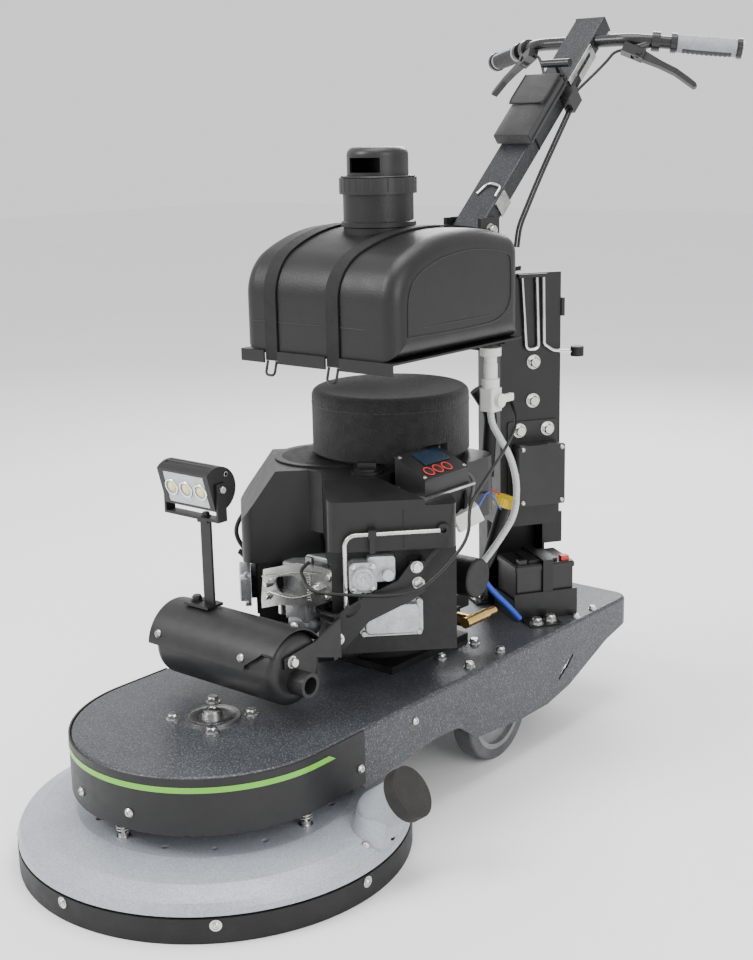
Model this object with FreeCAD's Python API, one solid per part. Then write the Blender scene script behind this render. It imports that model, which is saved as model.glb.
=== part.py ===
import FreeCAD, Part
import os, math
from FreeCAD import Vector as V

# Engine-driven walk-behind floor grinder, millimetres.
# Origin: spindle axis on the floor. +Z up, -Y ahead (grinding head), +Y the operator, +X the operator's left.
os.makedirs("parts", exist_ok=True)

# ---------------------------------------------------------------- driving dimensions
SKIRT_R = 285.0          # outside of the rubber skirt
SHROUD_TOP = 76.0        # flat top of the floating shroud
PAD_R = 262.0            # grinding pad
DECK_HALF = 201.0        # deck half width and nose radius
DECK_TOP = 190.0
DECK_T = 4.0
DECK_REAR = 843.0
BAND_T = 3.0
POST_R = 176.0           # circle of the shroud posts
HUB_BOLT = 39.6          # +-X and +-Y of the hub bolts
CRANK_Y = 378.0          # crankshaft axis behind the spindle axis
SPINDLE_RIM = 66.0       # belt pulley rims
CRANK_RIM = 44.0
WHEEL_R = 80.0
WHEEL_Y = 476.0
WHEEL_X = 151.0
MUF_Y, MUF_Z, MUF_R = 60.0, 270.0, 53.0
HOUSING_TOP = 505.0
FOAM_Y, FOAM_R = 419.0, 125.0
TANK_HALF = 151.5
PIV_Y, PIV_Z, COL_DEG = 640.0, 840.4, 42.0
COL_LEN = 511.0
TOW_X, TOW_Y, TOW_DEG = 78.5, 612.0, 57.0
TOW_W, TOW_TOP = 108.0, 773.0


# ---------------------------------------------------------------- helpers
def box(x0, x1, y0, y1, z0, z1):
    return Part.makeBox(x1 - x0, y1 - y0, z1 - z0, V(x0, y0, z0))


def cyl(p, axis, r, h):
    return Part.makeCylinder(r, h, V(*p), V(*axis))


def ring(p, axis, ro, ri, h):
    a = V(*axis)
    a.normalize()
    q = V(*p)
    return Part.makeCylinder(ro, h, q, a).cut(Part.makeCylinder(ri, h + 2, q - a, a))


def fuse(items):
    items = list(items)
    s = items[0]
    if len(items) > 1:
        s = s.multiFuse(items[1:])
    return s.removeSplitter()


def prism(pts, vec):
    f = Part.Face(Part.makePolygon([V(*p) for p in pts] + [V(*pts[0])]))
    return f.extrude(V(*vec))


def xprism(yz, x0, x1):
    return prism([(x0, y, z) for y, z in yz], (x1 - x0, 0, 0))


def zprism(xy, z0, z1):
    return prism([(x, y, z0) for x, y in xy], (0, 0, z1 - z0))


def yprism(xz, y0, y1):
    return prism([(x, y0, z) for x, z in xz], (0, y1 - y0, 0))


def lathe(rz, x=0.0, y=0.0):
    f = Part.Face(Part.makePolygon([V(r, 0, z) for r, z in rz] + [V(rz[0][0], 0, rz[0][1])]))
    s = f.revolve(V(0, 0, 0), V(0, 0, 1), 360)
    s.translate(V(x, y, 0))
    return s


def place(shape, ox, oy, deg):
    s = shape.copy()
    s.rotate(V(0, 0, 0), V(0, 0, 1), deg)
    s.translate(V(ox, oy, 0))
    return s


def tow(shape):
    # tower frame: x along the face, y into the machine
    return place(shape, TOW_X, TOW_Y, TOW_DEG)


def rlobe(shape):
    # right cylinder frame: x outward from the crank axis, y across
    return place(shape, 0, CRANK_Y, -45)


def llobe(shape):
    return place(shape, 0, CRANK_Y, -135)


def col(shape):
    # column frame: y along the column from its pivot, z out of its front face
    s = shape.copy()
    s.rotate(V(0, 0, 0), V(1, 0, 0), COL_DEG)
    s.translate(V(0, PIV_Y, PIV_Z))
    return s


def rounded(b, r, axis="z"):
    es = []
    for e in b.Edges:
        d = e.Vertexes[1].Point - e.Vertexes[0].Point
        L = d.Length
        k = {"x": abs(d.x), "y": abs(d.y), "z": abs(d.z)}[axis]
        if L > 0 and k / L > 0.999:
            es.append(e)
    return b.makeFillet(r, es)


def path_wire(pts, radii):
    pts = [V(*p) for p in pts]
    edges = []
    start = pts[0]
    for i in range(1, len(pts) - 1):
        a, b, c = pts[i - 1], pts[i], pts[i + 1]
        u = (a - b)
        v = (c - b)
        u.normalize()
        v.normalize()
        half = math.acos(max(-1, min(1, u.dot(v)))) / 2.0
        r = radii[i - 1]
        t = r / math.tan(half)
        p1 = b + u * t
        p2 = b + v * t
        bis = u + v
        bis.normalize()
        cen = b + bis * (r / math.sin(half))
        mid = cen - bis * r
        edges.append(Part.makeLine(start, p1))
        edges.append(Part.Arc(p1, mid, p2).toShape())
        start = p2
    edges.append(Part.makeLine(start, pts[-1]))
    return Part.Wire(edges)


def auto_radii(pts, share=0.45):
    out = []
    for i in range(1, len(pts) - 1):
        a, b, c = V(*pts[i - 1]), V(*pts[i]), V(*pts[i + 1])
        u = a - b
        v = c - b
        run = min(u.Length, v.Length)
        u.normalize()
        v.normalize()
        half = math.acos(max(-1, min(1, u.dot(v)))) / 2.0
        out.append(share * run * math.tan(half))
    return out


def rod(pts, r, radii=None, ri=None, label=None):
    if radii is None:
        radii = auto_radii(pts)
    w = path_wire(pts, radii)
    d = V(*pts[1]) - V(*pts[0])
    prof = Part.Wire([Part.makeCircle(r, V(*pts[0]), d)])
    s = w.makePipeShell([prof], True, True)
    if label:
        print("cord %s: arc radii %s mm, length %.1f mm, swept %.0f mm3, section x length %.0f mm3" % (
            label, [round(q, 1) for q in radii], w.Length, s.Volume, math.pi * r * r * w.Length))
    if ri:
        p2 = Part.Wire([Part.makeCircle(ri, V(*pts[0]), d)])
        s = s.cut(w.makePipeShell([p2], True, True))
    return s


def hexhead(p, axis, af, h, washer_r=0.0, washer_t=1.6):
    a = V(*axis)
    a.normalize()
    c = V(*p)
    R = af / math.sqrt(3.0)
    ref = V(1, 0, 0) if abs(a.x) < 0.9 else V(0, 1, 0)
    u = a.cross(ref)
    u.normalize()
    w = a.cross(u)
    base = c + a * (washer_t if washer_r else 0)
    pts = [base + u * (R * math.cos(math.radians(60 * k))) + w * (R * math.sin(math.radians(60 * k))) for k in range(6)]
    f = Part.Face(Part.makePolygon(pts + [pts[0]]))
    s = f.extrude(a * h)
    dome = Part.makeCone(R * 1.02, R * 0.72, h * 0.55, base + a * (h * 0.55), a)
    s = s.common(Part.makeCylinder(R * 1.02, h * 0.55, base, a).fuse(dome))
    if washer_r:
        s = s.fuse(Part.makeCylinder(washer_r, washer_t, c, a))
    return s.removeSplitter()


def button(p, axis, r, h):
    a = V(*axis)
    a.normalize()
    s = Part.makeCylinder(r, h * 0.45, V(*p), a).fuse(Part.makeCone(r, r * 0.6, h * 0.55, V(*p) + a * (h * 0.45), a))
    return s.cut(Part.makeCylinder(r * 0.38, h * 0.6, V(*p) + a * (h * 0.5), a)).removeSplitter()


def comp(shapes):
    out = []
    for s in shapes:
        out += s.Solids
    return Part.makeCompound(out)


# small pieces that share a node with their like or with the unit they belong to
GROUP = {"band_bolts": "chassis_bolts", "deck_bolts": "chassis_bolts", "hub_bolts": "chassis_bolts",
         "tower_bolts": "chassis_bolts", "tray_bolts": "chassis_bolts", "lamp_bolts": "chassis_bolts",
         "bracket_bolts": "chassis_bolts", "governor_bolts": "chassis_bolts", "shield_screws": "chassis_bolts",
         "box_screws": "chassis_bolts", "wheel_axles": "chassis_bolts", "pivot_bolt": "chassis_bolts",
         "filter_mount": "engine_block", "drain_boss": "engine_block",
         "exhaust_pipes": "muffler", "muffler_body": "muffler",
         "fuel_clip": "fuel_system", "fuel_tube": "fuel_system", "cable_stop": "engine_brackets",
         "drain_valve": "oil_filter", "blue_hose": "hoses", "clear_hose": "hoses",
         "display_lens": "display_unit", "display_panel": "display_unit", "display_box": "display_unit",
         "strap_hooks": "tank_shelf", "latch_hook": "tower", "latch_roller": "tower",
         "box_plate": "control_box", "box_lid": "control_box", "connector_block": "control_box",
         "battery_terminals": "battery", "battery_strap": "battery_tray",
         "skirt_screws": "shroud_posts", "port_screws": "shroud_posts",
         "spindle_shaft": "spindle", "spindle_pulley": "spindle", "crank_pulley": "crankshaft",
         "wheel_hub_left": "wheel_left", "wheel_tyre_left": "wheel_left",
         "wheel_hub_right": "wheel_right", "wheel_tyre_right": "wheel_right",
         "grip_rings": "handlebar", "lever_pins": "handlebar", "lever_holders": "handlebar",
         "cable_block": "throttle_controls", "slotted_plate": "throttle_controls", "foot_plate": "throttle_controls",
         "foot_loop": "throttle_controls", "t_base": "throttle_controls", "pouch_back": "pouch", "pouch_body": "pouch",
         "vent_hood": "tank_cap", "filter_base": "fan_housing",
         "accent_stripe": "front_band", "display_bracket": "display_unit", "handle_cables": "throttle_controls",
         "breather_hose": "hoses", "fuel_regulator": "fuel_system", "muffler_bracket": "engine_brackets",
         "governor_plate": "engine_brackets", "latch_wires": "tower", "pad_driver": "spindle",
         "lamp_body": "work_light", "lamp_lens": "work_light", "lamp_reflector": "work_light"}
FUSED = ("engine_block", "spindle", "crankshaft")
NODES = {}


def save(name, shape):
    sol = shape.Solids
    bad = [i for i, s in enumerate(sol) if not s.isValid() or s.Volume <= 0]
    if bad or not sol:
        print("PROBLEM", name, len(sol), bad)
    NODES.setdefault(GROUP.get(name, name), []).extend(sol)


# ================================================================ chassis
# deck: folded plate with a half-round nose and side skirts cut to a profile
def deck_outline(h, rear):
    e = [Part.Arc(V(h, 0, 0), V(0, -h, 0), V(-h, 0, 0)).toShape(),
         Part.makeLine(V(-h, 0, 0), V(-h, rear - 30, 0)),
         Part.Arc(V(-h, rear - 30, 0), V(-h + 30 * 0.2929, rear - 30 * 0.2929, 0), V(-h + 30, rear, 0)).toShape(),
         Part.makeLine(V(-h + 30, rear, 0), V(h - 30, rear, 0)),
         Part.Arc(V(h - 30, rear, 0), V(h - 30 * 0.2929, rear - 30 * 0.2929, 0), V(h, rear - 30, 0)).toShape(),
         Part.makeLine(V(h, rear - 30, 0), V(h, 0, 0))]
    return Part.Face(Part.Wire(e))


outer = deck_outline(DECK_HALF, DECK_REAR).extrude(V(0, 0, DECK_TOP - 60))
outer.translate(V(0, 0, 60))
top_edges = [e for e in outer.Edges if abs(e.BoundBox.ZMin - DECK_TOP) < 1e-6 and abs(e.BoundBox.ZMax - DECK_TOP) < 1e-6]
outer = outer.makeFillet(6.0, top_edges)
inner = deck_outline(DECK_HALF - DECK_T, DECK_REAR - DECK_T).extrude(V(0, 0, DECK_TOP - DECK_T - 50))
inner.translate(V(0, 0, 50))
deck = outer.cut(inner)
# lower edge of the side walls
low = [(-260, 0), (-260, 109), (90, 109), (100, 99), (274, 117), (322, 113), (334, 107), (344, 99.5), (361, 87),
       (372, 80), (493, 69), (573, 69), (640, 82), (760, 128), (860, 150), (900, 150), (900, 0)]
deck = deck.cut(xprism(low, -400, 400))
# stiffening ring inside the nose that carries the shroud posts
rim = ring((0, 0, 109.2), (0, 0, 1), DECK_HALF - DECK_T + 0.5, 150, 4)
deck = deck.fuse(rim)
for k in range(4):
    a = math.radians(90 * k)
    deck = deck.cut(cyl((POST_R * math.cos(a), POST_R * math.sin(a), 90), (0, 0, 1), 6.0, 40))
deck = deck.cut(cyl((0, 0, 180), (0, 0, 1), 40.4, 20))
deck = deck.cut(cyl((0, CRANK_Y, 180), (0, 0, 1), 24, 20))
for sx in (-1, 1):
    for sy in (-1, 1):
        deck = deck.cut(cyl((sx * HUB_BOLT, sy * HUB_BOLT, 180), (0, 0, 1), 5.3, 20))
# drain slots in both side walls
for sx in (-1, 1):
    for dy in (0, 11, 22):
        sl = Part.makeBox(30, 4.5, 30, V(-15, -2.25, -15))
        sl.rotate(V(0, 0, 0), V(1, 0, 0), -48)
        sl.translate(V(sx * (DECK_HALF - 2), 618 + dy, 112 + dy * 0.55))
        deck = deck.cut(sl)
deck = deck.removeSplitter()
save("deck", deck)

# black protective band around the nose
def nose_strip(ri, ro, y1, z0, z1):
    e = [Part.Arc(V(ro, 0, 0), V(0, -ro, 0), V(-ro, 0, 0)).toShape(), Part.makeLine(V(-ro, 0, 0), V(-ro, y1, 0)),
         Part.makeLine(V(-ro, y1, 0), V(-ri, y1, 0)), Part.makeLine(V(-ri, y1, 0), V(-ri, 0, 0)),
         Part.Arc(V(-ri, 0, 0), V(0, -ri, 0), V(ri, 0, 0)).toShape(), Part.makeLine(V(ri, 0, 0), V(ri, y1, 0)),
         Part.makeLine(V(ri, y1, 0), V(ro, y1, 0)), Part.makeLine(V(ro, y1, 0), V(ro, 0, 0))]
    b = Part.Face(Part.Wire(e)).extrude(V(0, 0, z1 - z0))
    b.translate(V(0, 0, z0))
    return b


save("front_band", nose_strip(DECK_HALF + 0.3, DECK_HALF + BAND_T, 97, 109, 189))
# coloured stripe bonded to the band, its two ends cut to a point
stripe = nose_strip(DECK_HALF + BAND_T, DECK_HALF + BAND_T + 0.6, 37, 170, 178)
stripe = stripe.cut(xprism([(18, 180), (40, 180), (40, 169), (36, 169)], -400, 400))
save("accent_stripe", stripe)
bb = []
for deg in (-77.6, -106.0):
    a = math.radians(deg)
    r = DECK_HALF + BAND_T
    bb.append(button((r * math.cos(a), r * math.sin(a), 134), (math.cos(a), math.sin(a), 0), 6.5, 4.5))
for sx in (-1, 1):
    bb.append(button((sx * (DECK_HALF + BAND_T), 86, 135), (sx, 0, 0), 6.5, 4.5))
    bb.append(button((sx * DECK_HALF, 215, 162), (sx, 0, 0), 6.0, 4.5))
save("band_bolts", comp(bb))

# deck top bolts
db = []
for sx in (-1, 1):
    for x, y in ((125, 381), (181, 379), (126, 469), (181, 463)):
        db.append(hexhead((sx * x, y, DECK_TOP), (0, 0, 1), 13, 8, 9))
    for y in (676, 730):
        db.append(hexhead((sx * 190, y, DECK_TOP), (0, 0, 1), 10, 5, 7))
save("deck_bolts", comp(db))

# spindle bearing housing hung under the deck, its nose standing through the deck
bh = fuse([box(-62, 62, -62, 62, 171.7, 185.7), cyl((0, 0, 140 + 25), (0, 0, 1), 38, 25), cyl((0, 0, 185), (0, 0, 1), 40, 9)])
bh = bh.cut(cyl((0, 0, 150), (0, 0, 1), 15.05, 60))
bh = bh.cut(ring((0, 0, 190), (0, 0, 1), 34, 20, 6))
for sx in (-1, 1):
    for sy in (-1, 1):
        bh = bh.cut(cyl((sx * HUB_BOLT, sy * HUB_BOLT, 160), (0, 0, 1), 5.3, 40))
save("bearing_housing", bh)
hb = []
for sx in (-1, 1):
    for sy in (-1, 1):
        p = (sx * HUB_BOLT, sy * HUB_BOLT, DECK_TOP)
        # head clears the nose of the housing
        h = hexhead(p, (0, 0, 1), 15, 8, 10.5, 2.0)
        s = cyl((p[0], p[1], 164.8), (0, 0, 1), 5.0, 26)
        n = cyl((p[0], p[1], 165.2), (0, 0, 1), 8.0, 6.4).cut(cyl((p[0], p[1], 160), (0, 0, 1), 4.5, 14))
        hb.append(fuse([h, s, n]))
save("hub_bolts", comp(hb))

# wheel brackets under the deck and their axle bolts
wb, ax = [], []
for sx in (-1, 1):
    x0, x1 = (118, 190)
    parts = [box(x0, x1, 371, 478, 181.5, 185.7)]
    for xa in (125.0, 173.0):
        parts.append(xprism([(380, 182), (476, 182), (494, 80), (476, 60), (458, 72)], xa, xa + 4))
    w = fuse(parts)
    w = w.cut(cyl((100, WHEEL_Y, WHEEL_R), (1, 0, 0), 6.3, 120))
    if sx < 0:
        w = w.mirror(V(0, 0, 0), V(1, 0, 0))
    wb.append(w)
    a = fuse([cyl((116, WHEEL_Y, WHEEL_R), (1, 0, 0), 6.0, 70), hexhead((177.2, WHEEL_Y, WHEEL_R), (1, 0, 0), 18, 7),
              hexhead((124.8, WHEEL_Y, WHEEL_R), (-1, 0, 0), 18, 8)])
    if sx < 0:
        a = a.mirror(V(0, 0, 0), V(1, 0, 0))
    ax.append(a)
save("wheel_brackets", comp(wb))
save("wheel_axles", comp(ax))

# ================================================================ wheels
for sx, nm in ((1, "left"), (-1, "right")):
    hub = fuse([cyl((WHEEL_X - 18, WHEEL_Y, WHEEL_R), (1, 0, 0), 62, 36), cyl((129.4, WHEEL_Y, WHEEL_R), (1, 0, 0), 20, 43.2)])
    for xx in (WHEEL_X - 19, WHEEL_X + 9):
        hub = hub.cut(ring((xx, WHEEL_Y, WHEEL_R), (1, 0, 0), 54, 24, 10))
    hub = hub.cut(cyl((120, WHEEL_Y, WHEEL_R), (1, 0, 0), 6.05, 70))
    tyre = cyl((WHEEL_X - 18, WHEEL_Y, WHEEL_R), (1, 0, 0), WHEEL_R, 36)
    tyre = tyre.makeFillet(4.0, [e for e in tyre.Edges if abs(e.BoundBox.XLength) < 1e-6])
    tyre = tyre.cut(cyl((WHEEL_X - 30, WHEEL_Y, WHEEL_R), (1, 0, 0), 62.3, 60))
    if sx < 0:
        hub = hub.mirror(V(0, 0, 0), V(1, 0, 0))
        tyre = tyre.mirror(V(0, 0, 0), V(1, 0, 0))
    save("wheel_hub_" + nm, hub)
    save("wheel_tyre_" + nm, tyre)

# ================================================================ grinding head
# floating shroud: dished sheet with a rolled edge
crown = lathe([(60, 72), (200, 72), (200, 76), (60, 76)])
shroud = lathe([(200, 76), (252, 66), (276, 56), (280, 54.5), (284, 47), (284, 38), (280, 35.2), (270, 35.2),
                (270, 39), (278, 39.5), (279.8, 41), (279.8, 46.5), (277, 50), (250, 62), (200, 71.8)])
for k in range(16):
    a = math.radians(22.5 * k)
    r = 6.0 if k % 4 == 0 else 5.0
    crown = crown.cut(cyl((POST_R * math.cos(a), POST_R * math.sin(a), 60), (0, 0, 1), r, 30))
# port cut-out
PORT = V(300, 80, 130)
pd = V(0.79, 0.176, 0.59)
pd.normalize()
shroud = shroud.cut(cyl((249, 69, 40), (0, 0, 1), 23, 60))
save("shroud", comp([crown, shroud]))
# moulded elbow on the shroud
mouth = PORT - pd * 6
PC = PORT - pd * 64
elb_o = Part.makeCylinder(30, 30, V(PC.x, PC.y, PC.z - 30), V(0, 0, 1)).fuse([Part.makeSphere(30, PC), Part.makeCylinder(30, 46, PC, pd), Part.makeCylinder(33, 14, mouth - pd * 14, pd),
                                                                           Part.makeCone(44, 31, 40, V(PC.x, PC.y, 52), V(0, 0, 1)).common(Part.makeCylinder(282, 80, V(0, 0, 40)))])
elb_i = Part.makeCylinder(25.5, 50, V(PC.x, PC.y, PC.z - 50), V(0, 0, 1)).fuse([Part.makeSphere(25.5, PC), Part.makeCylinder(25.5, 90, PC, pd)])
port = elb_o.cut(elb_i).removeSplitter()
port = port.cut(lathe([(120, 20), (330, 20), (330, 40), (284.5, 40), (284.5, 47.2), (280.4, 54.9), (276.1, 56.5), (252.1, 66.4), (200, 76.4), (120, 76.4)]))
port = max(port.Solids, key=lambda t: t.Volume)
save("dust_port", port)
# rubber cap on the port's mouth
cp = PORT - pd * 18
cap = Part.makeCylinder(37.5, 20, cp, pd)
cap = cap.cut(Part.makeCylinder(33.3, 12.4, cp - pd * 0.01, pd))
capf = [e for e in cap.Edges if abs(e.Length - 2 * math.pi * 37.5) < 0.5]
cap = cap.makeFillet(2.0, [capf[-1]]) if capf else cap
save("port_cap", cap)

skirt = lathe([(284.3, 0), (285.0, 0), (285.0, 34.9), (272, 34.9), (272, 0)])
skirt = lathe([(277, 0), (285.0, 0), (285.0, 35.0), (270, 35.0), (270, 31), (277, 31)])
save("rubber_skirt", skirt)
sk = []
for k in range(8):
    a = math.radians(45 * k)
    sk.append(fuse([cyl((285 * math.cos(a), 285 * math.sin(a), 26), (math.cos(a), math.sin(a), 0), 8.0, 1.2),
                    button((286.2 * math.cos(a), 286.2 * math.sin(a), 26), (math.cos(a), math.sin(a), 0), 5.0, 3.2)]))
save("skirt_screws", comp(sk))

# posts and springs between shroud and deck ring
posts, springs = [], []
for k in range(4):
    a = math.radians(90 * k)
    x, y = POST_R * math.cos(a), POST_R * math.sin(a)
    if k == 0:
        x, y = POST_R * math.cos(a), POST_R * math.sin(a)
    p = fuse([cyl((x, y, 66), (0, 0, 1), 4.0, 74), cyl((x, y, 76), (0, 0, 1), 10, 2.0), cyl((x, y, 78), (0, 0, 1), 7.5, 5.5),
              cyl((x, y, 66), (0, 0, 1), 8.5, 5.8), cyl((x, y, 132), (0, 0, 1), 8.0, 8)])
    posts.append(p)
    h = Part.makeHelix(4.0, 22.0, 8.4)
    h.translate(V(x, y, 85.0))
    c = Part.Wire([Part.makeCircle(1.1, V(x + 8.4, y, 85.0), V(0, 1, 0))])
    try:
        sp = Part.Wire(h).makePipeShell([c], True, True)
        springs.append(sp)
    except Exception as ex:
        print("helix", ex)
save("shroud_posts", comp(posts))
save("shroud_springs", comp(springs))

# rotating head: shaft, pulley, driver plate, pad
shaft = fuse([cyl((0, 0, 34.0), (0, 0, 1), 15.0, 166.2), cyl((0, 0, 34.0), (0, 0, 1), 40, 14), cyl((0, 0, 200.2), (0, 0, 1), 12, 3)])
save("spindle_shaft", shaft)
pul = lathe([(14, 112), (28, 112), (28, 136), (76, 136), (76, 140), (SPINDLE_RIM, 140.5), (SPINDLE_RIM, 159.5), (76, 160),
             (76, 164), (60, 164), (60, 150), (14, 150)])
save("spindle_pulley", pul)
drv = lathe([(0, 24), (250, 24), (250, 31), (60, 31), (60, 34), (0, 34)])
for k in range(6):
    a = math.radians(60 * k + 30)
    drv = drv.cut(cyl((150 * math.cos(a), 150 * math.sin(a), 20), (0, 0, 1), 14, 20))
save("pad_driver", drv)
pad = lathe([(0, 0), (PAD_R, 0), (PAD_R, 20), (PAD_R - 4, 24), (0, 24)])
save("grinding_pad", pad)

# ================================================================ engine
blk = [box(-105, 105, 282, 480, DECK_TOP, DECK_TOP + 12), cyl((0, CRANK_Y, DECK_TOP + 12), (0, 0, 1), 98, 150)]
for f in (rlobe, llobe):
    b = [box(60, 196, -40, 40, 266, 346), box(190, 204, -33, 33, 290, 327)]
    for z in (262, 276, 290, 304, 318, 332, 346):
        b.append(box(95, 190, -50, 50, z, z + 3.5))
    blk.append(f(fuse(b)))
blk = fuse(blk)
blk = blk.cut(cyl((0, CRANK_Y, 180), (0, 0, 1), 12.55, 240))
for sx in (-1, 1):
    for sy in (-1, 1):
        pass
save("engine_block", blk)
crank = fuse([cyl((0, CRANK_Y, 118), (0, 0, 1), 12.5, 320)])
save("crankshaft", crank)
cpul = lathe([(11, 126), (22, 126), (22, 136), (54, 136), (54, 140), (CRANK_RIM, 140.5), (CRANK_RIM, 159.5), (54, 160),
              (54, 164), (11, 164)], 0, CRANK_Y)
save("crank_pulley", cpul)
fan = [lathe([(12.55, 420), (96, 420), (96, 426), (40, 428), (40, 440), (12.55, 440)], 0, CRANK_Y)]
for k in range(12):
    a = 30 * k
    bl = Part.makeBox(46, 3, 34, V(46, -1.5, 425))
    bl.rotate(V(0, 0, 0), V(0, 0, 1), a)
    bl.translate(V(0, CRANK_Y, 0))
    fan.append(bl)
save("flywheel_fan", fuse(fan))
# flat-sided belt loop round both rims
import_r1, import_r2 = SPINDLE_RIM + 0.4, CRANK_RIM + 0.4


def loop_face(r1, r2, d):
    s = (r1 - r2) / d
    c = math.sqrt(1 - s * s)
    A = V(r1 * c, r1 * s, 0)
    B = V(r2 * c, d + r2 * s, 0)
    e = [Part.makeLine(A, B), Part.Arc(B, V(0, d + r2, 0), V(-B.x, B.y, 0)).toShape(), Part.makeLine(V(-B.x, B.y, 0), V(-A.x, A.y, 0)),
         Part.Arc(V(-A.x, A.y, 0), V(0, -r1, 0), A).toShape()]
    return Part.Face(Part.Wire(e))


belt = loop_face(import_r1 + 8, import_r2 + 8, CRANK_Y).extrude(V(0, 0, 17)).cut(loop_face(import_r1, import_r2, CRANK_Y).extrude(V(0, 0, 17)))
belt.translate(V(0, 0, 141.5))
save("drive_belt", belt)

# valve covers
vc = []
for f in (rlobe, llobe):
    a = rounded(box(204.2, 209, -47, 47, 279, 337), 9.0, "x")
    b = rounded(box(209, 222, -40, 40, 285, 331), 9.0, "x")
    b = b.makeFillet(3.0, [e for e in b.Edges if abs(e.BoundBox.XMin - 222) < 1e-6 and abs(e.BoundBox.XMax - 222) < 1e-6])
    c = [a, b]
    for y in (-41, 41):
        for z in (284, 332):
            c.append(hexhead((209, y, z), (1, 0, 0), 8, 5))
    vc.append(f(fuse(c)))
save("valve_covers", comp(vc))

# sheet baffles round the cylinders
b1 = fuse([box(196.3, 199.3, -91, 99, 250, 409), box(112, 199.3, 96, 99, 250, 409), box(150, 199.3, -91, -88, 250, 409)])
b1 = b1.cut(box(190, 205, -34, 34, 289, 328.5))
b2 = fuse([box(100, 193, 53, 56, 252, 358), box(190, 193, 50.3, 56, 252, 358)])
bolts = [hexhead((199.3, 35.5, 388), (1, 0, 0), 13, 6, 9), hexhead((199.3, 36.5, 372), (1, 0, 0), 13, 6, 9)]
b1 = rlobe(b1).cut(box(30, 80, 171.5, 215, 270, 390))
b2 = llobe(b2)
BAFFLES = (b1, b2)

# fan housing, hollow underneath
def housing(off):
    top = HOUSING_TOP - off
    lo_r, lo_l = (410 - (3 if off else 0)), (361 - (3 if off else 0))
    parts = [cyl((0, CRANK_Y, lo_r), (0, 0, 1), 136 - off, top - lo_r)]
    r = rounded(box(60 - 5 * off, 210 - off, -91 + off, 99 - off, lo_r, top), 14.0 - off)
    cutr = yprism([(150, top + 0.01), (300, top + 0.01), (300, top - 26), (210 - off, top - 20 - off * 0.3)], -200, 200)
    parts.append(rlobe(r.cut(cutr)))
    l = rounded(box(75 - 8 * off, 215 - off, -80 + off, 80 - off, lo_l, top), 20.0 - off)
    cutl = yprism([(160, top + 0.01), (300, top + 0.01), (300, top - 160), (215 - off, top - 77 - off)], -200, 200)
    parts.append(llobe(l.cut(cutl)))
    rear = rounded(box(-150 + off, 150 - off, CRANK_Y, 505 - off, lo_r, top), 30.0 - off)
    parts.append(rear)
    return fuse(parts)


hs = housing(0.0)
hi = housing(4.0)
pocket = box(96, 300, 266, 418, 476, 620)
pocket_g = box(92, 300, 262, 422, 472, 620)
hs = hs.cut(pocket)
hi = hi.cut(pocket_g)
hs = hs.cut(hi)
hs = hs.cut(cyl((-60, 335, 495), (0, 0, 1), 76, 20))
save("fan_housing", hs)
# slotted intake screen
scr = cyl((-60, 335, HOUSING_TOP + 0.0), (0, 0, 1), 85, 3)
scr = scr.cut(cyl((0, FOAM_Y, 500), (0, 0, 1), 119, 20))
slots = []
for k in range(-9, 10):
    s = Part.makeBox(3.6, 150, 10, V(-1.8, -75, 0))
    s.translate(V(k * 7.6, 0, 500))
    slots.append(s)
sl = Part.makeCompound(slots)
sl.rotate(V(0, 0, 0), V(0, 0, 1), -35)
sl.translate(V(-60, 335, 0))
keep = cyl((-60, 335, 495), (0, 0, 1), 74, 30).cut(cyl((0, FOAM_Y, 490), (0, 0, 1), 125, 40))
for s in sl.Solids:
    c = s.common(keep)
    if c.Volume > 1:
        scr = scr.cut(c)
save("fan_screen", scr)
# air cleaner: base dish and foam wrap
base = cyl((0, FOAM_Y, HOUSING_TOP), (0, 0, 1), 118, 7.6)
NOTCH = box(106.5, 175, 288, 403.6, 470, 537)
save("filter_base", base.cut(NOTCH))
foam = cyl((0, FOAM_Y, 512.8), (0, 0, 1), FOAM_R, 99.2)
foam = foam.makeFillet(12.0, [e for e in foam.Edges if abs(e.BoundBox.ZMin - 612) < 1e-6 and abs(e.BoundBox.ZMax - 612) < 1e-6])
save("foam_prefilter", foam.cut(NOTCH))
# twist knob on the housing
kn = fuse([cyl((64, 282, 505.2), (0, 0, 1), 24, 4), cyl((64, 282, 509), (0, 0, 1), 19, 4), place(rounded(box(-15, 15, -5, 5, 512, 521), 3.0), 64, 282, 35),
           cyl((64, 282, 505.2), (0, 0, 1), 24, 4)])
save("housing_knob", kn)

# fuel regulator body on the right baffle
rg = [rounded(box(199.6, 226, -62, -22, 352, 398), 8.0, "x"), rounded(box(199.6, 218, -34, 6, 366, 404), 5.0, "x"),
      cyl((218, -5, 378), (1, 0, 0), 8.5, 12), cyl((199.6, -42, 375), (1, 0, 0), 17, 32)]
save("fuel_regulator", rlobe(fuse(rg)))
rb = [hexhead((199.6, 36, 388), (1, 0, 0), 13, 6, 9), hexhead((199.6, 40, 362), (1, 0, 0), 13, 6, 9)]

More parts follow.
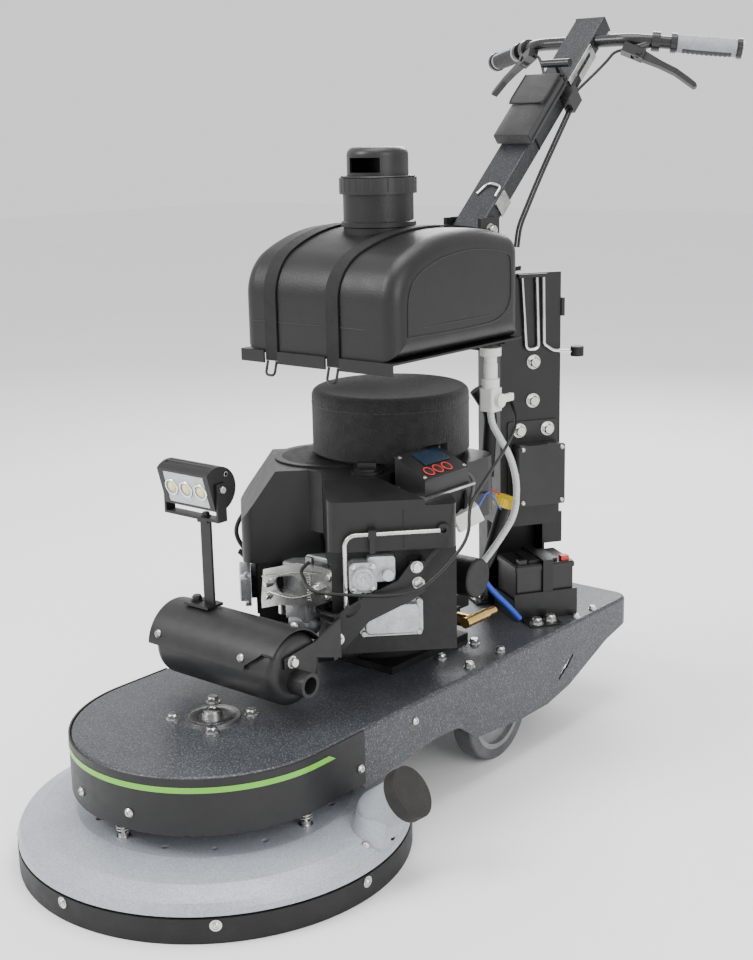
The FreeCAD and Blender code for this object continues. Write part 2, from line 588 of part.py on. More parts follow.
# muffler: body, shield, outlet stub, bracket, pipes
mb = cyl((-126, MUF_Y, MUF_Z), (1, 0, 0), MUF_R, 240)
mb = mb.makeFillet(14.0, [e for e in mb.Edges if abs(e.BoundBox.XLength) < 1e-6])
stub = cyl((110, 56, 254), (1, 0, 0), 18, 32)
mb = fuse([mb, stub]).cut(cyl((116, 56, 254), (1, 0, 0), 12.5, 40))
save("muffler_body", mb)
sh = ring((-131, MUF_Y, MUF_Z), (1, 0, 0), MUF_R + 6, MUF_R + 4.2, 244.8)
sh = sh.cut(xprism([(MUF_Y, MUF_Z), (MUF_Y - 130, MUF_Z + 12), (MUF_Y - 130, MUF_Z - 130), (MUF_Y + 130, MUF_Z - 130), (MUF_Y + 130, MUF_Z + 75)], -300, 300))
corner = prism([(60, -100, 200), (125, -100, 200), (125, -100, 345), (112, -100, 345)], (0, 200, 0))
sh = sh.cut(yprism([(66, 262), (66, 283), (90, 300), (119, 340), (200, 340), (200, 262)], -60, 12))
save("heat_shield", sh)
hsf = []
for x, ang in ((-112, 158), (58, 158), (-112, 70), (92, 70)):
    a = math.radians(ang)
    d = (0, math.cos(a), math.sin(a))
    p = (x, MUF_Y + (MUF_R + 6) * d[1], MUF_Z + (MUF_R + 6) * d[2])
    hsf.append(button(p, d, 6.0, 4.5))
    hsf.append(Part.makeCylinder(5.0, 3.8, V(x, MUF_Y + (MUF_R + 0.2) * d[1], MUF_Z + (MUF_R + 0.2) * d[2]), V(*d)))
save("shield_screws", comp(hsf))
# bracket arm from the baffle to the muffler's end
arm = prism([(0, -86, 316), (0, -70, 331), (0, -43, 347), (0, 8, 370), (0, 29, 398), (0, 48, 398), (0, 48, 352), (0, 30, 340), (0, -35, 310), (0, -60, 282), (0, -72, 270), (0, -94, 257)], (4, 0, 0))
arm.translate(V(227.5, 0, 0))
lug = box(199.6, 231.5, 27, 48, 352, 398)
lug = lug.cut(box(203, 227.5, 20, 60, 345, 405)).fuse(box(199.6, 231.5, 45, 48, 352, 398))
armw = rlobe(fuse([arm, lug]))
# leg running ahead to the muffler's end face
ex = 227.5
px_, py_ = 0.7071 * ex + 0.7071 * (-94), CRANK_Y - 0.7071 * ex + 0.7071 * (-94)
leg = fuse([xprism([(30, 280), (30, 296), (96, 303), (150, 322), (150, 262), (96, 279)], 114.3, 118.3)])
tie = zprism([(94, 145), (98, 141), (118.3, 150), (118.3, 158)], 262, 320)
mbr = fuse([leg, armw, zprism([(91.5, 143.5), (97.3, 140.5), (118.3, 134), (118.3, 142)], 262, 316)])
save("muffler_bracket", mbr.cut(cyl((100, 56, 254), (1, 0, 0), 18.4, 60)))
mbs = [hexhead((118.3, 44, 288), (1, 0, 0), 13, 7, 9), rlobe(hexhead((231.5, -82, 286), (1, 0, 0), 13, 8, 10)),
       rlobe(hexhead((231.5, 36, 390), (1, 0, 0), 13, 7, 9)), rlobe(hexhead((231.5, 38, 366), (1, 0, 0), 13, 7, 9))]
save("bracket_bolts", comp(mbs))
pipes = []
pipes.append(rod([(-60, 112, 262), (-60, 150, 262), (-72, 235, 240), (-88, 290, 262)], 14, [20, 24]))
pipes.append(rod([(40, 112, 262), (40, 150, 250), (62, 235, 236), (84, 292, 258)], 14, [20, 24]))
pp_ = []
for q in pipes:
    q = q.cut(cyl((-300, MUF_Y, MUF_Z), (1, 0, 0), MUF_R, 600)).cut(blk)
    pp_.append(max(q.Solids, key=lambda t: t.Volume))
save("exhaust_pipes", comp(pp_))
bf = []
for b in BAFFLES:
    for q in pipes:
        c = q.copy()
        b = b.cut(c)
    bf.append(max(b.Solids, key=lambda t: t.Volume))
save("cylinder_baffles", comp(bf))

# governor plate with its window, in the V of the engine
gp = yprism([(-67, 354), (5, 377), (47, 380), (72, 378), (88, 381), (90, 361), (79, 348), (86, 338), (44, 317), (-34, 303), (-73, 290), (-74, 303)], 184, 187)
win = rounded(box(-42, 6, 175, 195, 326, 352), 10.0, "y")
win.rotate(V(-18, 185, 339), V(0, 1, 0), -14)
gp = gp.cut(win)
fl1 = box(-70, -67, 187, 215, 305, 352)
gp = fuse([gp, fl1, box(60, 63, 187, 235, 345, 376)])
gp = gp.cut(box(82.5, 130, 170, 240, 270, 400))
save("governor_plate", gp)
gb = [hexhead((70, 184, 366), (0, -1, 0), 10, 5, 7), hexhead((62, 184, 335), (0, -1, 0), 10, 5, 7), hexhead((-60, 184, 312), (0, -1, 0), 10, 5, 7)]
save("governor_bolts", comp(gb))
# steel fuel tube with its clip
def lp(L, t, z):
    return (0.7071 * L + 0.7071 * t, CRANK_Y - 0.7071 * L + 0.7071 * t, z)


ftube = rod([lp(221, -67, 326), lp(221, -67, 438), lp(221, 72, 440)], 3.2, [16], label="fuel_tube")
save("fuel_tube", ftube)
fclip = rlobe(fuse([box(214.5, 226, -33, -21, 433, 445.5), box(216, 224, -31, -23, 410.5, 434)]).cut(cyl((221, -60, 438.3), (0, 1, 0), 3.6, 120)))
fclip = fclip.cut(rod([lp(221, -67, 326), lp(221, -67, 438), lp(221, 72, 440)], 3.5, [16]))
fclip2 = rlobe(box(210.3, 216, -33, -21, 433, 445))
grom = rlobe(ring((210.4, 78, 439), (1, 0, 0), 9.5, 4.5, 6))
save("fuel_clip", comp([fuse([fclip, fclip2]), grom]))

# throttle cable from the plate to the tower
tc = [(33.0, 178.0, 384.0), (33.0, 160.0, 376.0), (78.0, 130.0, 358.0), lp(240, -16, 350), lp(248, 34, 356), lp(248, 72, 388), lp(240, 112, 432), (225, 320, 470), (205, 400, 500), (176, 490, 522), (142, 568, 542), (93, 624, 560)]
save("throttle_cable", rod(tc, 2.5, label="throttle_cable"))
cst = fuse([box(27, 39, 178.2, 183.8, 376, 392)]).cut(rod(tc[:3], 2.9))
save("cable_stop", cst)

# oil filter, filler tube, drain, air duct, connector block
of_ = cyl((92, 456, 308), (1, 0, 0), 32, 52)
of_ = of_.makeFillet(4.0, [e for e in of_.Edges if abs(e.BoundBox.XMin - 144) < 1e-6 and abs(e.BoundBox.XMax - 144) < 1e-6])
ofm = fuse([box(60, 91.7, 432, 480, 284, 332)])
ofm = ofm.cut(cyl((0, CRANK_Y, 180), (0, 0, 1), 90, 240))
save("oil_filter", of_)
save("filter_mount", ofm)
tube_pts = [(70, 500, 250), (88, 560, 300), (110, 578, 396)]
ft = rod(tube_pts, 11, [60], 8.5)
ftb = box(56, 84, 470, 512, 236, 262).cut(cyl((0, CRANK_Y, 180), (0, 0, 1), 98.3, 240))
u = V(*tube_pts[2]) - V(*tube_pts[1])
u.normalize()
ftc = ft.fuse(ftb.cut(rod(tube_pts, 10.9, [60])))
save("oil_filler_tube", ftc)
e0 = V(*tube_pts[2]) + u * 0.5
oc = Part.makeCylinder(20, 15, e0, u).fuse(Part.makeCylinder(8.2, 12, e0 - u * 12, u))
for k in range(24):
    a = math.radians(15 * k)
    r1 = u.cross(V(1, 0, 0))
    r1.normalize()
    r2 = u.cross(r1)
    c = e0 + r1 * (20.6 * math.cos(a)) + r2 * (20.6 * math.sin(a))
    oc = oc.cut(Part.makeCylinder(1.5, 16, c - u * 0.5, u))
save("oil_cap", oc.removeSplitter())
dr = fuse([cyl((100, 452, 234), (1, 0, 0), 11, 28), cyl((128, 440, 234), (0, 1, 0), 9, 60), cyl((128, 498, 234), (0, 1, 0), 6.5, 24)])
drm = box(60, 100, 438, 466, 222, 250).cut(cyl((0, CRANK_Y, 180), (0, 0, 1), 90, 240))
save("drain_valve", dr)
save("drain_boss", drm.cut(box(56, 84.3, 466, 520, 230, 270)))
duct = rod([(66, 560, 590), (82, 580, 550), (84, 566, 446)], 11.0, [50], label="breather_hose")
save("breather_hose", duct)
cn = rounded(box(-22, 22, -14, 14, 0, 26), 4.0)
cn.rotate(V(0, 0, 0), V(0, 1, 0), -24)
cn.rotate(V(0, 0, 0), V(0, 0, 1), 50)
cn.translate(V(163, 408, 412))
cnb = box(140, 152, 402, 420, 410, 440)
save("connector_block", fuse([cn]).cut(box(100, 150.3, 300, 520, 300, 505)))

# display unit on its bracket
dbx = yprism([(108, 480), (164.5, 480), (164.5, 502.5), (108, 531.2)], 294, 402)
dbx = rounded(dbx, 1.5, "y")
pan = yprism([(107.2, 532.0), (165.2, 502.6), (165.8, 504.0), (107.9, 533.6)], 293.4, 402.6)
tilt = math.radians(26.9)
tn = V(math.sin(tilt), 0, math.cos(tilt))
bt, bh_ = [], []
for y in (318, 340, 362):
    c = V(152.5, y, 510.6)
    pan = pan.cut(Part.makeCylinder(7.4, 8, c - tn * 5, tn))
    dbx = dbx.cut(Part.makeCylinder(7.4, 5.5, c - tn * 5.5, tn))
    bt.append(Part.makeCylinder(7.0, 4.0, c - tn * 2.4, tn))
lcd_c = V(129, 357, 522.4)
save("display_box", dbx)
save("display_panel", pan)
for i, b in enumerate(bt):
    save("display_button_%d" % (i + 1), b)
dlens = Part.makeBox(30, 62, 1.0, V(-15, -31, 0))
dlens.rotate(V(0, 0, 0), V(0, 1, 0), 26.9)
dlens.translate(V(128.6, 356, 524.4))
save("display_lens", dlens)
dk = fuse([box(110, 172, 280, 410, 476.3, 479.7), box(118, 128, 268, 281, 476.3, 492)])
save("display_bracket", dk)

# ================================================================ work light on the muffler
LX0, LX1, LY, LZ, LR = -130.0, -26.0, 60.0, 512.0, 33.0
nrm = V(0, -0.966, -0.259)
pod = cyl((LX0, LY, LZ), (1, 0, 0), LR, LX1 - LX0)
cutb = Part.makeBox(200, 200, 200, V(-100, -100, 0))
cutb.rotate(V(0, 0, 0), V(1, 0, 0), 90 + 15)
cutb.translate(V(LX0 + 52, LY, LZ) + nrm * 17)
pod = pod.cut(cutb)
for k in range(9):
    a = math.radians(-20 + 16 * k)
    g = cyl((LX0 + 6, LY + (LR + 0.5) * math.cos(a), LZ + (LR + 0.5) * math.sin(a)), (1, 0, 0), 2.2, LX1 - LX0 - 12)
    pod = pod.cut(g)
reces = Part.makeBox(84, 50, 12, V(-42, -25, -6))
reces.rotate(V(0, 0, 0), V(1, 0, 0), 90 + 15)
reces.translate(V(-78, LY, LZ) + nrm * 17)
pod = pod.cut(reces)
save("lamp_body", pod)
lens = Part.makeBox(83, 49, 2.0, V(-41.5, -24.5, -1))
lens.rotate(V(0, 0, 0), V(1, 0, 0), 90 + 15)
lens.translate(V(-78, LY, LZ) + nrm * 15.4)
save("lamp_lens", lens)
lf = Part.makeBox(83, 49, 3.0, V(-41.5, -24.5, -1.5))
lf.rotate(V(0, 0, 0), V(1, 0, 0), 90 + 15)
lf.translate(V(-78, LY, LZ) + nrm * 12.7)
save("lamp_reflector", lf)
ub = fuse([box(LX0 - 4.3, LX0 - 0.3, LY - 9, LY + 9, 468, LZ + 9), box(LX1 + 0.3, LX1 + 4.3, LY - 9, LY + 9, 468, LZ + 9),
           box(LX0 - 4.3, LX1 + 4.3, LY - 9, LY + 9, 464, 468)])
post = fuse([box(-66, -46, 57, 61, 335, 464), box(-96, -46, 44, 76, 330.4, 334.4), box(-66, -46, 51, 69, 460, 464)])
save("lamp_bracket", fuse([ub, post]))
lbs = [hexhead((LX0 - 4.3, LY, LZ), (-1, 0, 0), 10, 5), hexhead((LX1 + 4.3, LY, LZ), (1, 0, 0), 10, 5), hexhead((-56, 60, 468), (0, 0, 1), 10, 5, 7), hexhead((-84, 60, 334.4), (0, 0, 1), 13, 7, 9)]
save("lamp_bolts", comp(lbs))

# ================================================================ water tank
def tank_wire(o, z0):
    # front wall, front crown arc, two long top arcs and a rear corner arc, all offset outward by o
    def pt(c, r, deg):
        return V(0, c[0] + r * math.cos(math.radians(deg)), c[1] + r * math.sin(math.radians(deg)))
    ca, ra = (321.0, 764.0), 75.0 + o
    cb, rb = (419.04, 553.76), 307.0 + o
    cc, rc = (419.04, 360.76), 500.0 + o
    top = 75.8
    cd = (cc[0] + 468.0 * math.cos(math.radians(top)), cc[1] + 468.0 * math.sin(math.radians(top)))
    rd = 562.0 - cd[0] + o
    g = math.degrees(math.atan2(0.0, 1.0))
    e0 = V(0, 246.0 - o, z0)
    p = [e0, pt(ca, ra, 180), pt(ca, ra, 115), pt(cb, rb, 90)]
    q1 = pt(cc, rc, top)
    out = [Part.makeLine(e0, p[1]), Part.Arc(p[1], pt(ca, ra, 147.5), p[2]).toShape(),
           Part.Arc(p[2], pt(cb, rb, 102.5), p[3]).toShape(), Part.Arc(p[3], pt(cc, rc, (90 + top) / 2), q1).toShape()]
    r2 = (q1 - V(0, cd[0], cd[1])).Length
    e = V(0, cd[0] + r2, cd[1])
    out.append(Part.Arc(q1, pt(cd, r2, top / 2), e).toShape())
    end = V(0, cd[0] + r2, z0)
    out.append(Part.makeLine(e, end))
    return out, e0, end


def tank_solid(o):
    # o is the distance inside the outer skin
    es_, a0, a1 = tank_wire(-o, 683.0 + o)
    w = Part.Wire(es_ + [Part.makeLine(a1, a0)])
    t = Part.Face(w).extrude(V(2 * (TANK_HALF - o), 0, 0))
    t.translate(V(-TANK_HALF + o, 0, 0))
    return t


def ends_rounded(t, sizes):
    for r in sizes:
        try:
            f = t.makeFillet(r, [e for e in t.Edges if abs(e.BoundBox.XLength) < 1e-6])
            if f.isValid() and f.Volume > 0:
                print("tank end radius", r)
                return f
        except Exception:
            pass
    return t


tk = ends_rounded(tank_solid(0.0), (26.0, 22.0, 16.0, 10.0))
tin = ends_rounded(tank_solid(6.0), (20.0, 16.0, 10.0))
neck = cyl((0, 399, 850), (0, 0, 1), 54, 62)
tk = fuse([tk, neck])
tk = tk.cut(tin).cut(cyl((0, 399, 845), (0, 0, 1), 42.3, 70))
save("water_tank", tk)
tcap = fuse([cyl((0, 399, 912.3), (0, 0, 1), 59.5, 24), cyl((0, 399, 886), (0, 0, 1), 42.0, 27)]).cut(cyl((0, 399, 880), (0, 0, 1), 37, 50))
for k in range(30):
    a = math.radians(12 * k)
    tcap = tcap.cut(cyl((61.2 * math.cos(a), 399 + 61.2 * math.sin(a), 916), (0, 0, 1), 2.4, 40))
save("tank_cap", tcap)
hood = cyl((0, 399, 936.3), (0, 0, 1), 47, 45)
hood = hood.makeFillet(12.0, [e for e in hood.Edges if abs(e.BoundBox.ZMin - 981.3) < 1e-6 and abs(e.BoundBox.ZMax - 981.3) < 1e-6])
hood = hood.cut(cyl((0, 399, 940), (0, 0, 1), 42, 34))
wd = Part.makeBox(70, 52, 22, V(0, -26, 944))
wd.rotate(V(0, 0, 0), V(0, 0, 1), -80)
wd.translate(V(0, 399, 0))
save("vent_hood", hood.cut(wd))
# straps over the tank
def strap_plan(x0, x1, w):
    # plan outline of a strap running from x0 at the front wall to x1 at the rear wall
    return zprism([(x0 - w / 2, 230), (x0 + w / 2, 230), (x0 + w / 2, 246), (x1 + w / 2, 562), (x1 + w / 2, 580),
                   (x1 - w / 2, 580), (x1 - w / 2, 562), (x0 - w / 2, 246)], 600, 900)


def strap_band(o, t):
    e1, a0, a1 = tank_wire(o, 668.0)
    e2, b0, b1 = tank_wire(o + t, 668.0)
    f = Part.Face(Part.Wire(e2 + [Part.makeLine(b1, b0)])).cut(Part.Face(Part.Wire(e1 + [Part.makeLine(a1, a0)])))
    s = f.extrude(V(300, 0, 0))
    s.translate(V(-150, 0, 0))
    return s


STRAPS = ((-88.0, -88.0), (36.0, 106.0))
ss = []
for xf, xr in STRAPS:
    s = strap_band(0.8, 2.6).common(strap_plan(xf, xr, 24))
    ss.append(s)
save("tank_straps", comp(ss))
shp = fuse([box(-150, 150, 240, 568, 679.5, 682.7), box(-150, 150, 240, 243, 664, 682.7), zprism([(-60, 560), (92, 560), (78.0, 611.0), (-5.5, 665.2), (-60, 640)], 655, 679.5),
            box(-60, 90, 420, 566, 668, 679.6)])
for xf, xr in STRAPS:
    shp = shp.cut(box(xf - 14, xf + 14, 238, 249.5, 640, 700)).cut(box(xr - 14, xr + 14, 560.5, 570, 667.0, 700))
save("tank_shelf", shp)
hk = []
for xc, xr in STRAPS:
    hk.append(rod([(xc - 9, 244.0, 667.4), (xc - 9, 238, 646), (xc + 9, 238, 646), (xc + 9, 244.0, 667.4)], 2.0, [6, 6]))
save("strap_hooks", comp(hk))

# ================================================================ tower
U = fuse([box(0, TOW_W, 0, 3, 345, TOW_TOP), box(0, 3, 0, 100, 345, TOW_TOP), box(TOW_W - 3, TOW_W, 0, 100, 345, TOW_TOP),
          box(0, TOW_W, 96, 100, 194, TOW_TOP), box(0, 4, 60, 100, 194, 350), box(TOW_W - 4, TOW_W, 60, 100, 194, 350),
          box(-19, TOW_W + 19, 60, 128, 190, 194), box(0, TOW_W, 0, 100, TOW_TOP - 3, TOW_TOP)])
U = U.cut(box(4, TOW_W - 4, 50, 95, 180, 200))
gus = box(TOW_W, TOW_W + 46, 88, 92, 282, 338)
save("tower", tow(fuse([U, gus])))
tb = []
for t, z in ((59, 626), (58, 561), (32.5, 512), (83.5, 512)):
    tb.append(tow(hexhead((t, 0 if z > 520 else -3.0, z), (0, -1, 0), 16, 9, 12, 2)))
for t in (-9.5, TOW_W + 9.5):
    tb.append(tow(hexhead((t, 78, 194), (0, 0, 1), 13, 7, 9)))
    tb.append(tow(hexhead((t, 116, 194), (0, 0, 1), 13, 7, 9)))
save("tower_bolts", comp(tb))
# control box on its back plate
bp = rounded(box(12, 102, -3.0, -0.2, 380, 527), 5.0, "y")
save("box_plate", tow(bp))
cb = rounded(box(20, 100, -33, -3.2, 390, 491), 4.0, "y")
save("control_box", tow(cb))
lid = rounded(box(19, 101, -38, -33.2, 389, 492), 4.0, "y")
save("box_lid", tow(lid))
bsx = [tow(button((t, -38, z), (0, -1, 0), 4.0, 3)) for t in (25, 95) for z in (395, 486)]
save("box_screws", comp(bsx))
# battery, tray and strap
bat = fuse([rounded(box(13, 118, -39, 44, 196, 286), 3.0), rounded(box(11, 120, -41, 46, 276, 284), 3.0), box(40, 92, -30, 32, 286, 291)])
save("battery", tow(bat))
bterm = [tow(box(20, 34, -34, -22, 286.2, 294)), tow(box(98, 112, -34, -22, 286.2, 294))]
save("battery_terminals", comp(bterm))
tray = fuse([box(8, 123, -44, 47, 190, 193.5), box(8, 123, -44.5, -41.5, 190, 238), box(8, 11, -44, 46, 190, 225), box(120, 123, -44, 46, 190, 225), box(20, 78, -84, -41, 190, 193)])
save("battery_tray", tow(tray))
strap = fuse([box(60, 78, -48, -45, 196, 293.6), box(60, 78, -48, 50, 291.3, 293.6), box(60, 78, 47.3, 50, 196, 293.6)])
strap = fuse([box(60, 78, -44.3, -41.5, 238.3, 293.6), box(60, 78, -44.3, 49, 291.3, 293.6), box(60, 78, 46.4, 49, 240, 293.6)])
save("battery_strap", tow(strap))
trb = [tow(hexhead((36, -72, 193), (0, 0, 1), 16, 9, 12, 2)), tow(hexhead((64, -64, 193), (0, 0, 1), 16, 9, 12, 2))]
save("tray_bolts", comp(trb))
# hold-down latch wires with their roller
w1 = tow(rod([(36, -5.5, 766), (44, -5.5, 648), (66, -5.5, 648), (62, -5.5, 766)], 2.8, [8, 8]))
w2 = tow(rod([(74, -5.5, 766), (76, -5.5, 655), (92, -5.5, 644), (124, -5.5, 640)], 2.8, [8, 18]))
hp = tow(box(30, 80, -8.5, -0.2, 766.2, 772))
rol = tow(cyl((132, -5.5, 640), (0, 0, 1), 11, 15))
rol2 = tow(cyl((124.2, -5.5, 646), (1, 0, 0), 2.2, 1))
save("latch_wires", comp([w1, w2]))
save("latch_hook", comp([hp, tow(box(TOW_W + 0.2, TOW_W + 6, -3, 10, 700, 730))]))
save("latch_roller", tow(fuse([cyl((136, -5.5, 632), (0, 0, 1), 11, 16)])))

# water valve under the tank, with its lever and hoses
wv = fuse([cyl((118, 528, 655), (0, 0, 1), 17, 13), cyl((118, 528, 640), (0, 0, 1), 10, 16), cyl((118, 528, 600), (0, 0, 1), 14, 18), cyl((118, 528, 616), (0, 0, 1), 11, 26), rounded(box(104, 132, 514, 542, 566, 603), 5.0)])
wv = wv.cut(cyl((118, 528, 560), (0, 0, 1), 6, 20))
wv = fuse([wv, cyl((132, 528, 584), (1, 0, 0), 6.0, 9)])
save("water_valve", wv)
wl = fuse([cyl((132.3, 528, 584), (1, 0, 0), 11, 8), rounded(box(133, 139.5, 524, 562, 580, 592), 2.5, "x")])
wl = wl.cut(cyl((130, 528, 584), (1, 0, 0), 6.05, 20))
save("valve_lever", wl)
save("clear_hose", rod([(118, 528, 579.5), (118, 528, 548), (143, 549, 488), (146, 562, 444), (140, 566, 388), (122, 536, 340), (104, 516, 306)], 5.6, label="clear_hose"))
save("blue_hose", rod([(102, 514, 298), (112, 532, 266), (134, 562, 226), (142, 576, 206)], 5.0, label="blue_hose"))

# ================================================================ handle
brk = fuse([box(-44, 60, 612, 700, TOW_TOP + 0.2, TOW_TOP + 6), box(-38, -32.3, 615, 668, TOW_TOP + 2, 862), box(32.3, 38, 615, 668, TOW_TOP + 2, 862)])
brk = brk.cut(cyl((-60, PIV_Y, PIV_Z), (1, 0, 0), 6.3, 120))
save("column_bracket", brk)
pb = fuse([cyl((-46, PIV_Y, PIV_Z), (1, 0, 0), 6.0, 92), hexhead((38, PIV_Y, PIV_Z), (1, 0, 0), 18, 9, 12), hexhead((-38, PIV_Y, PIV_Z), (-1, 0, 0), 18, 9, 12)])
save("pivot_bolt", pb)

ct = box(-30, 30, -20, COL_LEN - 3, -15, 15)
ct = ct.makeFillet(3.0, [e for e in ct.Edges if abs(e.BoundBox.XLength) < 1e-6 and abs(e.BoundBox.ZLength) < 1e-6])
ci = box(-27, 27, -30, COL_LEN - 3, -12, 12)
ct = ct.cut(ci)
ct = fuse([ct, box(-30, 30, COL_LEN - 3, COL_LEN, -15, 15), box(-27.5, 27.5, -12, 12, -12.5, 12.5)])
ct = ct.cut(cyl((-40, 0, 0), (1, 0, 0), 6.05, 80))
ct = ct.cut(cyl((-40, 463, 0), (1, 0, 0), 11.3, 80)).cut(cyl((20, 349, 8.0), (0, 0, 1), 3.6, 10))
save("column", col(ct))

# swept handlebar
P1, P2 = V(95, 984, 1151.5), V(259, 1087, 1129)
bar_mid = 463
hbz = PIV_Z + math.sin(math.radians(COL_DEG)) * bar_mid
hby = PIV_Y + math.cos(math.radians(COL_DEG)) * bar_mid
pts = [(-259, 1087, 1129), (-95, hby, hbz), (95, hby, hbz), (259, 1087, 1129)]
hbar = rod(pts, 11.0, [70, 70], 9.0)
save("handlebar", hbar)
gd = V(259 - 95, 1087 - hby, 1129 - hbz)
gl = gd.Length
gd.normalize()
G0 = V(95, hby, hbz)


def mir(s):
    return s.mirror(V(0, 0, 0), V(1, 0, 0))


grip = Part.makeCylinder(16.5, 104, G0 + gd * 82, gd).cut(Part.makeCylinder(11.3, 140, G0 + gd * 60, gd))
grip = fuse([grip])
rings = []
for s0, w, ro in ((72.0, 9.5, 17.0), (186.4, 8.0, 17.5)):
    r = Part.makeCylinder(ro, w, G0 + gd * s0, gd).cut(Part.makeCylinder(11.3, 60, G0 + gd * (s0 - 20), gd))
    rings.append(r)
plug = Part.makeCylinder(13.0, 3.0, G0 + gd * (gl + 0.3), gd)
save("grips", comp([grip, mir(grip)]))
save("grip_rings", comp(rings + [mir(r) for r in rings] + [plug, mir(plug)]))
# lever holders
PV = V(118, 977, 1124)
TP = V(219, 1022, 1077)
ld = TP - PV
LL = ld.Length
ld.normalize()
hx = ld.cross(gd)
hx.normalize()
ly = hx.cross(ld)


def lev(shape):
    m = FreeCAD.Matrix(ld.x, ly.x, hx.x, PV.x, ld.y, ly.y, hx.y, PV.y, ld.z, ly.z, hx.z, PV.z, 0, 0, 0, 1)
    return shape.transformGeometry(m) if False else _tf(shape, m)


def _tf(shape, m):
    s = shape.copy()
    s.Placement = FreeCAD.Placement(m).multiply(s.Placement)
    return s


bladepts = [(-9, -7), (10, -9), (40, -8), (72, -10), (96, -16), (112, -20), (116, -16), (112, -11), (96, -6), (72, 0), (40, 3), (10, 8), (-9, 7)]
blade = prism([(x, y, -5.5) for x, y in bladepts], (0, 0, 11))
blade = fuse([blade, cyl((0, 0, -5.5), (0, 0, 1), 10, 11)]).cut(cyl((0, 0, -20), (0, 0, 1), 3.05, 40))
save("lever_left", lev(blade))
save("lever_right", mir(lev(blade)))
# clamp ring on the bar and the arm down to the lever's pivot
cs = 46.0
ck = G0 + gd * cs
clampr = Part.makeCylinder(17, 14, G0 + gd * (cs - 7), gd)
arm1 = rod([tuple(ck), tuple(ck + (PV - ck) * 0.5), tuple(PV - ld * 2)], 8.0, [400]) if False else None
v1 = PV - ld * 17 - ck
v1l = v1.Length
v1.normalize()
a1 = Part.makeCylinder(7.0, v1l, ck, v1)
head = lev(box(-30, -11, -9, 9, -9, 9))
cheeks = lev(fuse([box(-16, 10, -9, 9, 5.9, 9), box(-16, 10, -9, 9, -9, -5.9)]))
pinl = lev(cyl((0, 0, -10.5), (0, 0, 1), 3.0, 21))
hold = clampr.fuse(a1).fuse(head).fuse(cheeks)
hold = hold.cut(rod(pts, 11.3, [70, 70]))
hold = hold.cut(lev(box(-10.8, 40, -12.5, 12.5, -5.9, 5.9)))
hold = hold.cut(lev(cyl((0, 0, -5.9), (0, 0, 1), 10.6, 11.8)))
hold = hold.cut(lev(cyl((0, 0, -20), (0, 0, 1), 3.3, 40))).removeSplitter()
save("lever_holders", comp([hold, mir(hold)]))
pp = lev(fuse([cyl((0, 0, -9.2), (0, 0, 1), 3.0, 18.4), cyl((0, 0, 9.2), (0, 0, 1), 5, 2), cyl((0, 0, -11.2), (0, 0, 1), 5, 2)]))
save("lever_pins", comp([pp, mir(pp)]))

# slotted plate, cable block, T handle and cables on the column
spl = box(30.2, 33.2, 345, 440, -14, 14).cut(rounded(box(28, 36, 372, 428, -1, 7), 3.9, "x"))
cbk = fuse([box(30.2, 48, 306, 338, -24, 8), box(33, 36.5, 330, 372, -10, 2)])
save("slotted_plate", col(fuse([spl])))
cbk = cbk.cut(box(30, 33.4, 343, 500, -20, 20))
save("cable_block", col(cbk))
th = fuse([cyl((20, 349, 18.3), (0, 0, 1), 8, 6), cyl((20, 349, -6), (0, 0, 1), 3.5, 27), cyl((20, 349, 20), (0, 0, 1), 5.5, 30), cyl((-8, 349, 50), (1, 0, 0), 7.0, 56)])
save("t_handle", col(th))
thb = col(cyl((20, 349, 15.0), (0, 0, 1), 8, 3.0).cut(cyl((20, 349, 10.0), (0, 0, 1), 3.55, 30)))
save("t_base", thb)
sn, cn_ = math.sin(math.radians(COL_DEG)), math.cos(math.radians(COL_DEG))


def cp_(x, s, n):
    return (x, PIV_Y + cn_ * s - sn * n, PIV_Z + sn * s + cn_ * n)


cabs = []
for x in (37.5, 44.0):
    cabs.append(rod([cp_(x, 305.6, -17), cp_(x, 170, -34), cp_(x, 62, -54), cp_(x, 34, -74)], 2.4, label="handle_cable"))
save("handle_cables", comp(cabs))
# column foot plate and hook (small black plate and bent wire loop)
fp = col(fuse([box(30.2, 33.2, 47, 80, -15, 13)]))
save("foot_plate", fp)
hook = col(rod([(26, 60, 18.4), (26, 84, 18.4), (-4, 92, 18.4), (-14, 66, 18.4)], 2.2, [9, 12]))
save("foot_loop", hook)

# pouch on the column: back, body and flap
pw = 37.0
pbk = col(fuse([rounded(box(-pw, pw, 186, 334, 15.0, 19.0), 3.0), box(-pw + 1, pw - 1, 331, 334, 18, 45.4)]))
save("pouch_back", pbk)
pbody = box(-pw + 2, pw - 2, 190, 322, 19.0, 42)
pbody = rounded(pbody, 8.0, "z")
pbody = pbody.makeFillet(5.0, [e for e in pbody.Edges if abs(e.BoundBox.ZMin - 42) < 1e-6 and abs(e.BoundBox.ZMax - 42) < 1e-6])
save("pouch_body", col(pbody))
pf = rounded(box(-pw + 1, pw - 1, 256, 330.6, 42.4, 45.4), 3.0)
save("pouch_flap", col(pf))
for name in sorted(NODES):
    sol = NODES[name]
    if name in FUSED:
        # the driver plate is a separate disc bolted under the spindle flange
        sol = fuse(sol[:2]).Solids + sol[2:] if name == "spindle" else fuse(sol).Solids
        print(name, len(sol), "solids after fusing")
    out = sol[0] if len(sol) == 1 else Part.makeCompound(sol)
    out.exportStep("parts/%s.step" % name)
print(len(NODES), "nodes")
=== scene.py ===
import bpy, bmesh, math
from mathutils import Vector, Matrix
import numpy as np

